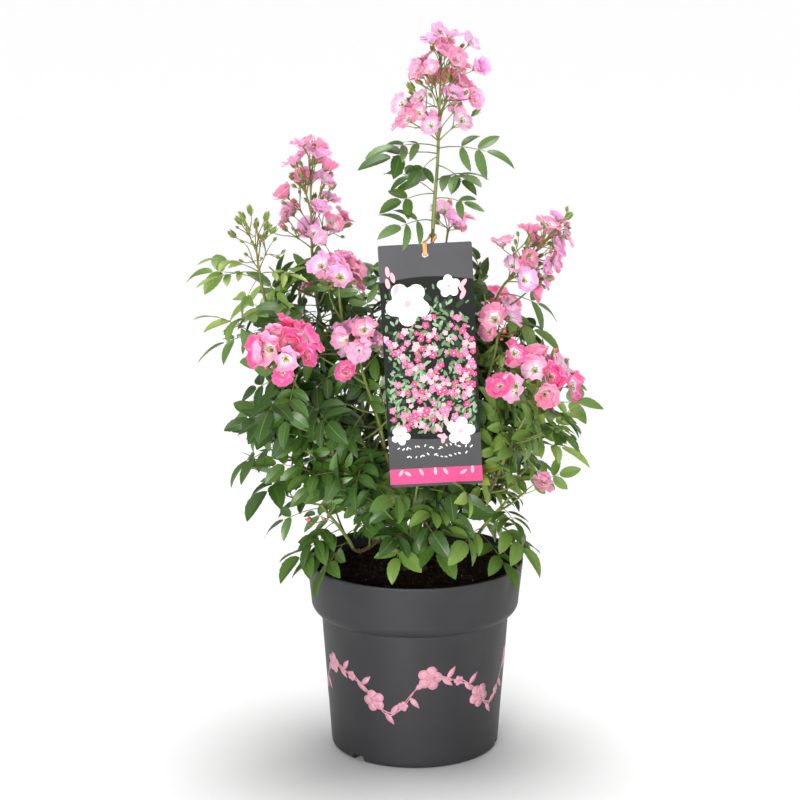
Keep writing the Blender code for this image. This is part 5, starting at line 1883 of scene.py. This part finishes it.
# The greens that a shoot's leaves are drawn from.
TONES = {
    "": (Tone.MIDDLE, Tone.DARK, Tone.DEEP, Tone.COOL),
    "left_bud": (Tone.YOUNG, Tone.FRESH, Tone.YOUNG),
    "leader": (Tone.COOL, Tone.DARK),
    "left": (Tone.COOL, Tone.DARK, Tone.MIDDLE),
    "centre": (Tone.COOL, Tone.DARK, Tone.DEEP),
    "front_low": (Tone.MIDDLE, Tone.DARK, Tone.DARK, Tone.DEEP, Tone.FADING),
    "right": (Tone.FRESH, Tone.COOL, Tone.YOUNG),
    "right_front": (Tone.FRESH, Tone.YOUNG, Tone.COOL),
    "right_low": (Tone.MIDDLE, Tone.FRESH, Tone.FRESH),
    "right_foot": (Tone.MIDDLE, Tone.FRESH, Tone.FRESH),
    "right_side": (Tone.FRESH, Tone.YOUNG, Tone.FRESH),
    "left_low": (Tone.MIDDLE, Tone.DARK, Tone.COOL),
    "left_front": (Tone.DARK, Tone.DEEP, Tone.MIDDLE),
    "mid_low": (Tone.DEEP, Tone.DARK, Tone.MIDDLE),
}


def node_names(suffix: str) -> list[str]:
    """The solids of one kind, such as every cane."""
    return [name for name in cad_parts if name.endswith(suffix)]


@dataclass
class RoseWood:
    """The crown, the canes with their prickles, and the leafy stems."""

    plan: BushPlan
    patterns: Patterns
    cane_sides: int = 12
    cane_steps: int = 36
    cane_share: float = 0.86
    swelling: float = 0.16

    def build(self) -> None:
        """Builds the crown, then every cane and stem."""
        self.crown()
        growth = self.plan.growth
        canes, stems, prickles = Batch(), Batch(), Batch()
        for shoot in SHOOTS:
            cane, stem = growth.canes[shoot.name], growth.stems[shoot.name]
            path, radii = cane.path(self.cane_steps), []
            for step in range(len(path)):
                knot = 1 + self.swelling * max(0.0, cos(step * 1.1)) ** 8
                radii.append(growth.cane_radius(shoot.name, step / self.cane_steps) * knot * self.cane_share)
            start = path[0] - cane.heading(0.0) * 4 * MM
            canes.tube([start, *path], [radii[0] * 1.25, *radii], self.cane_sides, Wood.CANE, 0.14)
            self.arm(prickles, shoot)
            path = stem.path(12)
            radii = [growth.stem_radius * (1 - 0.32 * step / 13) for step in range(14)]
            stems.tube([path[0] - stem.heading(0.0) * MM, *path], radii, 8, Wood.STEM, 0.08)
        for twig in self.plan.twigs:
            stems.tube(twig.path(6), [1.35 * MM - 0.09 * MM * step for step in range(7)], 6, Wood.STEM)
        canes.build("canes", "bark", node_names("_cane"))
        prickles.build("prickles", "bark", node_names("_cane"))
        stems.build("leafy_stems", "bark", node_names("_foliage"))

    def crown(self) -> None:
        """Turns the short flared stump and gives it knobs, ridges and a rough head."""
        growth = self.plan.growth
        foot, height = growth.soil_top - 1.5 * MM, growth.crown_height
        levels = [height * step / 14 for step in range(15)]
        profile = [(0.0, foot), *((growth.crown_radius_at(level), foot + level) for level in levels)]
        profile += [(growth.crown_radius * 0.8, foot + height * 1.04), (0.0, foot + height * 1.06)]
        crown = turned("crown_stump", profile, 40)
        for vertex in crown.data.vertices:
            x, y, z = vertex.co
            out = Vector((x, y, 0.0))
            if out.length > MM and z > foot + MM:
                knob = noise.noise(Vector((x, y, z * 0.6)) * 110)
                ridge = noise.noise(Vector((x, y, z * 0.2)) * 420)
                vertex.co += out.normalized() * (1.6 * knob + 0.6 * ridge - 0.4) * MM
        finish_piece(crown, "bark", ["crown"], Wood.CROWN)
        crown.data.shade_smooth()

    def arm(self, prickles: Batch, shoot: Shoot) -> None:
        """Sets a few hooked prickles along a cane."""
        rng = Random(shoot.name + " prickles")
        growth, cane = self.plan.growth, self.plan.growth.canes[shoot.name]
        for index in range(9):
            share = 0.12 + 0.86 * (index + rng.uniform(-0.3, 0.3)) / 9
            along = cane.heading(share)
            out = growth.leaf_direction(along, index * GOLDEN_TURN, 0.0)
            size = rng.uniform(2.0, 3.4) * MM
            base = cane.point(share) + out * growth.cane_radius(shoot.name, share) * 0.8
            scale = (size * 1.1, size * 0.5, size)
            prickles.stand(self.patterns.prickle, base, out, along, scale, Wood.PRICKLE)


@dataclass
class RoseLeaves:
    """Every compound leaf: a thin stalk with pairs of toothed leaflets and one at its end."""

    plan: BushPlan
    patterns: Patterns
    stalk_share: float = 0.64
    pairs: tuple[Pair, ...] = ((0.52, 0.41), (0.30, 0.36), (0.14, 0.28))
    pair_angle: float = radians(58)
    end_size: float = 0.46
    slim: float = 0.68
    broad: float = 0.94
    stalk_radius: float = 0.62 * MM
    rng: Random = field(default_factory=lambda: Random("leaves"))

    def build(self) -> None:
        """Grows the leaves, those in front and those behind apart."""
        front, back, stalks = Batch(), Batch(), Batch()
        for leaf in self.plan.leaves:
            self.leaf(back if leaf.base.y > 0 else front, stalks, leaf)
        for batch, name in ((front, "leaves_front"), (back, "leaves_back"), (stalks, "leaf_stalks")):
            batch.build(name, "leaf", node_names("_foliage"))

    def leaf(self, leaflets: Batch, stalks: Batch, leaf: LeafPlan) -> None:
        """Grows one leaf.

        Args:
            leaflets: What the leaflets are added to.
            stalks: What the stalk is added to.
            leaf: Its place, way, size and tone.
        """
        size, droop, end, tail = leaf.size, leaf.droop(), leaf.end(), leaf.tail()
        stalk = Limb(leaf.base, leaf.base + leaf.along * size * 0.24, end - tail * size * 0.2, end)
        normal = self.face_of(leaf.base, droop)
        tones = (leaf.tone, Rib.LIGHT if leaf.tone in (Tone.YOUNG, Tone.FADING) else Rib.DARK)
        self.leaflet(leaflets, end, tail, normal, size * self.end_size, tones)
        for place, share in self.pairs[: leaf.pairs]:
            root, way = stalk.point(place / self.stalk_share), stalk.heading(place / self.stalk_share)
            across = way.cross(normal).normalized()
            for side in (-1, 1):
                angle = self.pair_angle + self.rng.uniform(-0.15, 0.15)
                out = (way * cos(angle) + across * side * sin(angle) - UP * 0.06).normalized()
                self.leaflet(leaflets, root, out, normal, size * share, tones)
        radii = [self.stalk_radius * (1 - 0.45 * step / 5) for step in range(6)]
        stalks.tube(stalk.path(5), radii, 4, Wood.STEM)

    def face_of(self, base: Vector, along: Vector) -> Vector:
        """Where a leaf's upper side looks: up, and out from the middle of the bush."""
        out = Vector((base.x, base.y, 0.0))
        facing = UP * 0.75 + (out.normalized() * 0.65 if out.length > MM else Vector())
        facing += Vector([self.rng.gauss(0, spread) for spread in (0.22, 0.22, 0.12)])
        return (facing - along * facing.dot(along)).normalized()

    def leaflet(
        self, batch: Batch, root: Vector, along: Vector, normal: Vector, length: float, tones: Sequence[Enum]
    ) -> None:
        """Grows one leaflet, set a little out from its root."""
        rng = self.rng
        breadth = self.slim if tones[0] in (Tone.COOL, Tone.YOUNG) else self.broad
        size = (length * rng.uniform(0.88, 1.08), breadth * rng.uniform(0.88, 1.14))
        facing = (normal + Vector([rng.gauss(0, 0.16) for _ in range(3)])).normalized()
        bend, fold, twist = rng.uniform(0.25, 0.9), rng.uniform(0.1, 0.38), rng.uniform(-0.35, 0.35)
        base = root + along * 0.04 * length
        points = curled(self.patterns.leaflet, base, along, facing, size, bend, fold, twist)
        batch.copy(self.patterns.leaflet, points, *tones)


@dataclass
class RoseBlossom:
    """Every truss: branching stalks, blossoms, buds, bracts and hearts."""

    plan: BushPlan
    patterns: Patterns
    petals: Batch = field(default_factory=Batch)
    hearts: Batch = field(default_factory=Batch)
    buds: Batch = field(default_factory=Batch)
    stalks: Batch = field(default_factory=Batch)
    rng: Random = field(default_factory=Random)
    bunch_reach: float = 34 * MM
    fork: float = 0.5
    fullness: float = 1.06
    rim_angle: float = radians(75)
    pink_tips: float = 0.6
    stamens: int = 11

    def build(self) -> None:
        """Grows every truss and every single head, and joins each kind of part."""
        for laid in self.plan.trusses:
            self.truss(laid)
        self.rng = Random("singles")
        for head in self.plan.singles:
            self.head(head, head.root, (head.base - head.root).normalized())
        nodes = node_names("_blossom")
        self.stalks.build("flower_stalks", "leaf", nodes)
        select_only(self.petals.build("petals", "blossom", nodes))
        bpy.ops.object.shade_smooth_by_angle(angle=self.rim_angle)
        self.hearts.build("flower_hearts", "blossom", nodes)
        self.buds.build("buds", "blossom", nodes)

    def truss(self, laid: TrussPlan) -> None:
        """Grows one truss: its middle stalk, and its heads in small branching bunches."""
        self.rng = Random(laid.truss.shoot + " petals")
        self.pink_tips = 0.1 if laid.truss.form is Form.BUDS else 0.6
        radii = [1.55 * MM - 0.12 * MM * step for step in range(9)]
        self.stalks.tube(laid.stalk.path(8), radii, 7, Wood.TWIG, 0.06)
        for bunch in self.bunches(laid.heads):
            root = min((head.root for head in bunch), key=lambda point: (point - laid.stalk.start).length)
            middle = sum((head.base for head in bunch), Vector()) / len(bunch)
            way = (middle - root).normalized()
            if len(bunch) == 1:
                self.head(bunch[0], root, way)
                continue
            node = root.lerp(middle, self.fork)
            side = Limb(root, root.lerp(node, 0.4) + UP * MM, node - way * MM, node)
            self.stalks.tube(side.path(5), [0.85 * MM - 0.05 * MM * step for step in range(6)], 6, Wood.TWIG)
            self.bract(node, way)
            for head in bunch:
                self.head(head, node, way)

    def bunches(self, heads: Sequence[HeadPlan]) -> list[list[HeadPlan]]:
        """Gathers neighbouring heads, so that each bunch shares a side stalk."""
        rest = sorted(heads, key=lambda head: (head.base.z, head.base.x))
        gathered = []
        while rest:
            first, *rest = rest
            near = sorted(rest, key=lambda head: (head.base - first.base).length)[:3]
            near = [head for head in near if (head.base - first.base).length < self.bunch_reach]
            rest = [head for head in rest if all(head is not other for other in near)]
            gathered.append([first, *near])
        return gathered

    def bract(self, place: Vector, way: Vector) -> None:
        """Sets a small leafy bract at a fork."""
        out = (beside(way, self.rng.uniform(0, TURN)) + way * 0.6).normalized()
        size = (self.rng.uniform(4.5, 8.5) * MM, 1.0)
        points = curled(self.patterns.sepal, place, out, way, size, 0.7, 0.3)
        self.buds.copy(self.patterns.sepal, points, Heart.SEPAL)

    def head(self, head: HeadPlan, root: Vector, way: Vector) -> None:
        """Grows one head on its own thin stalk, at times with a side bud."""
        length = (head.base - root).length
        stalk = Limb(root, root + way * length * 0.35, head.base - head.facing * length * 0.35, head.base)
        radius = self.rng.uniform(0.4, 0.52) * MM
        radii = [radius * (1.25 - 0.25 * step / 6) for step in range(7)]
        self.stalks.tube(stalk.path(6), radii, 5, self.rng.choice((Wood.TWIG, Wood.TWIG, Wood.RED_STEM)))
        if length > 14 * MM and self.rng.random() < 0.45:
            self.side_bud(stalk)
        if head.opened:
            self.bloom(head)
        else:
            self.bud(head.base, head.facing, min(head.size * 0.85, 9.5 * MM))

    def side_bud(self, stalk: Limb) -> None:
        """Grows a short stalk with a small bud, and a bract at its foot."""
        share = self.rng.uniform(0.3, 0.55)
        place, along = stalk.point(share), stalk.heading(share)
        out = (beside(along, self.rng.uniform(0, TURN)) + along).normalized()
        end = place + out * self.rng.uniform(7, 12) * MM
        path = Limb(place, place.lerp(end, 0.3), end - along * 2 * MM, end).path(4)
        self.stalks.tube(path, [0.4 * MM] * 5, 4, Wood.TWIG)
        self.bract(place, along)
        self.bud(end, (out + along).normalized(), self.rng.uniform(4.2, 6.5) * MM)

    def bud(self, base: Vector, facing: Vector, size: float) -> None:
        """Grows a closed bud: a green hip, the furled petals' pink tip and hugging sepals."""
        side, foot = side_axes(facing)[0], base + facing * size * 0.28
        shapes = self.patterns
        self.buds.stand(shapes.hip, base, facing, side, (size * 0.42, size * 0.42, size * 0.36), Heart.SEPAL)
        tip = Petal.BUD if self.rng.random() < self.pink_tips else Heart.SEPAL
        scale = (size * 0.92, size * 0.92, size * 1.05)
        self.buds.stand(shapes.bud, foot, facing, side, scale, Heart.SEPAL, tip)
        self.sepals(foot, facing, size * 1.0, (0.16, 0.02))

    def sepals(self, base: Vector, facing: Vector, length: float, lean: Pair) -> None:
        """Sets five pointed sepals round a bud or under a blossom.

        Args:
            base: Where they start.
            facing: The axis that they stand round.
            length: How long they are.
            lean: Their turn away from the axis at their foot, and how far they bend on.
        """
        finish = Heart.DRY if self.rng.random() < 0.25 else Heart.SEPAL
        for index in range(5):
            out = beside(facing, index * TURN / 5 + self.rng.uniform(-0.15, 0.15))
            along = (facing * cos(lean[0]) + out * sin(lean[0])).normalized()
            above = (out * cos(lean[0]) - facing * sin(lean[0])).normalized()
            size = (length * self.rng.uniform(0.85, 1.1), 1.0)
            start, bend = base + out * length * 0.27, lean[1] + self.rng.uniform(0.05, 0.3)
            points = curled(self.patterns.sepal, start, along, above, size, bend, 0.2)
            self.buds.copy(self.patterns.sepal, points, finish)

    def bloom(self, head: HeadPlan) -> None:
        """Opens one blossom: broad ruffled petals round a cream heart with a ring of stamens."""
        rng, facing, small = self.rng, head.facing, head.size * 0.2
        hip = (head.base - facing * small * 0.9, facing, side_axes(facing)[0], [small * 1.3] * 3)
        self.buds.stand(self.patterns.hip, *hip, Heart.SEPAL)
        self.sepals(head.base, facing, head.size * 0.5, (1.2, 0.9))
        heart = head.base + facing * small * 0.3
        wide = rng.random() < 0.7
        count = rng.choice((5, 5, 5, 6))
        back = Petal.CORAL if rng.random() < 0.35 else head.tint
        tints = (Petal.CREAM, Petal.PALE, Petal[head.tint.name + "_SOFT"], head.tint, back)
        leave = rng.uniform(0.7, 0.95) if wide else rng.uniform(0.9, 1.15)
        arrive = rng.uniform(1.15, 1.6) if wide else rng.uniform(0.25, 0.8)
        self.whorl(heart, head, count, (leave, arrive), 1.0, tints)
        if rng.random() < (0.75 if head.tint is Petal.HOT else 0.3):
            self.whorl(heart, head, 4, (leave * 0.55, arrive * 0.6), 0.66, tints)
        if wide or rng.random() < 0.5:
            self.heart(heart, head)

    def whorl(
        self, heart: Vector, head: HeadPlan, count: int, turns: Pair, share: float, tints: tuple[Petal, ...]
    ) -> None:
        """Sets one ring of petals.

        Args:
            heart: Where they start.
            head: The blossom they belong to.
            count: How many there are.
            turns: Their turn away from the facing at foot and edge.
            share: Their length, of the ring's full length.
            tints: The skins of their zones.
        """
        draw = self.rng.uniform
        first = draw(0, TURN)
        for index in range(count):
            pose = PetalPose(
                around=first + index * TURN / count + draw(-0.16, 0.16),
                length=head.size * self.fullness * share * draw(0.86, 1.08),
                breadth=draw(0.82, 1.06) * (5.2 / count) ** 0.5,
                leave=turns[0] + draw(-0.12, 0.12),
                arrive=turns[1] + draw(-0.3, 0.3),
                cup=draw(0.12, 0.42),
                ruffle=draw(0.06, 0.17),
                phase=draw(0, TURN),
            )
            points = opened(self.patterns.petal, heart, head.facing, pose)
            self.petals.copy(self.patterns.petal, points, *tints)

    def heart(self, heart: Vector, head: HeadPlan) -> None:
        """Sets the ring of stamens round the styles."""
        size, facing = head.size, head.facing
        scale = (size * 0.13, size * 0.13, size * 0.22)
        self.hearts.stand(self.patterns.styles, heart, facing, side_axes(facing)[0], scale, Heart.STYLE)
        for index in range(self.stamens):
            lean, out = self.rng.uniform(0.35, 0.95), beside(facing, index * GOLDEN_TURN)
            axis = (facing * cos(lean) + out * sin(lean)).normalized()
            long = size * self.rng.uniform(0.26, 0.36)
            place = (heart, axis, out.cross(axis), (long * 0.9, long * 0.9, long))
            self.hearts.stand(self.patterns.stamen, *place, Heart.FILAMENT, Heart.POLLEN)


# ---------------- the whole plant


def main() -> None:
    """Builds the studio and then every part of the potted rose."""
    logging.basicConfig(level=logging.INFO, format="%(message)s")
    Studio().build()
    pot, label = NurseryPot(), PlantLabel()
    plan = BushPlan(GrowthPlan(), Surroundings(label))
    plan.lay_out()
    patterns = Patterns()
    printed = (pot, PotPrint(pot), PottingSoil(pot), label, LabelStrap(plan.growth, label))
    for part in (*printed, RoseWood(plan, patterns), RoseLeaves(plan, patterns), RoseBlossom(plan, patterns)):
        log.info("building %s", type(part).__name__)
        part.build()


if __name__ == "__main__":
    main()
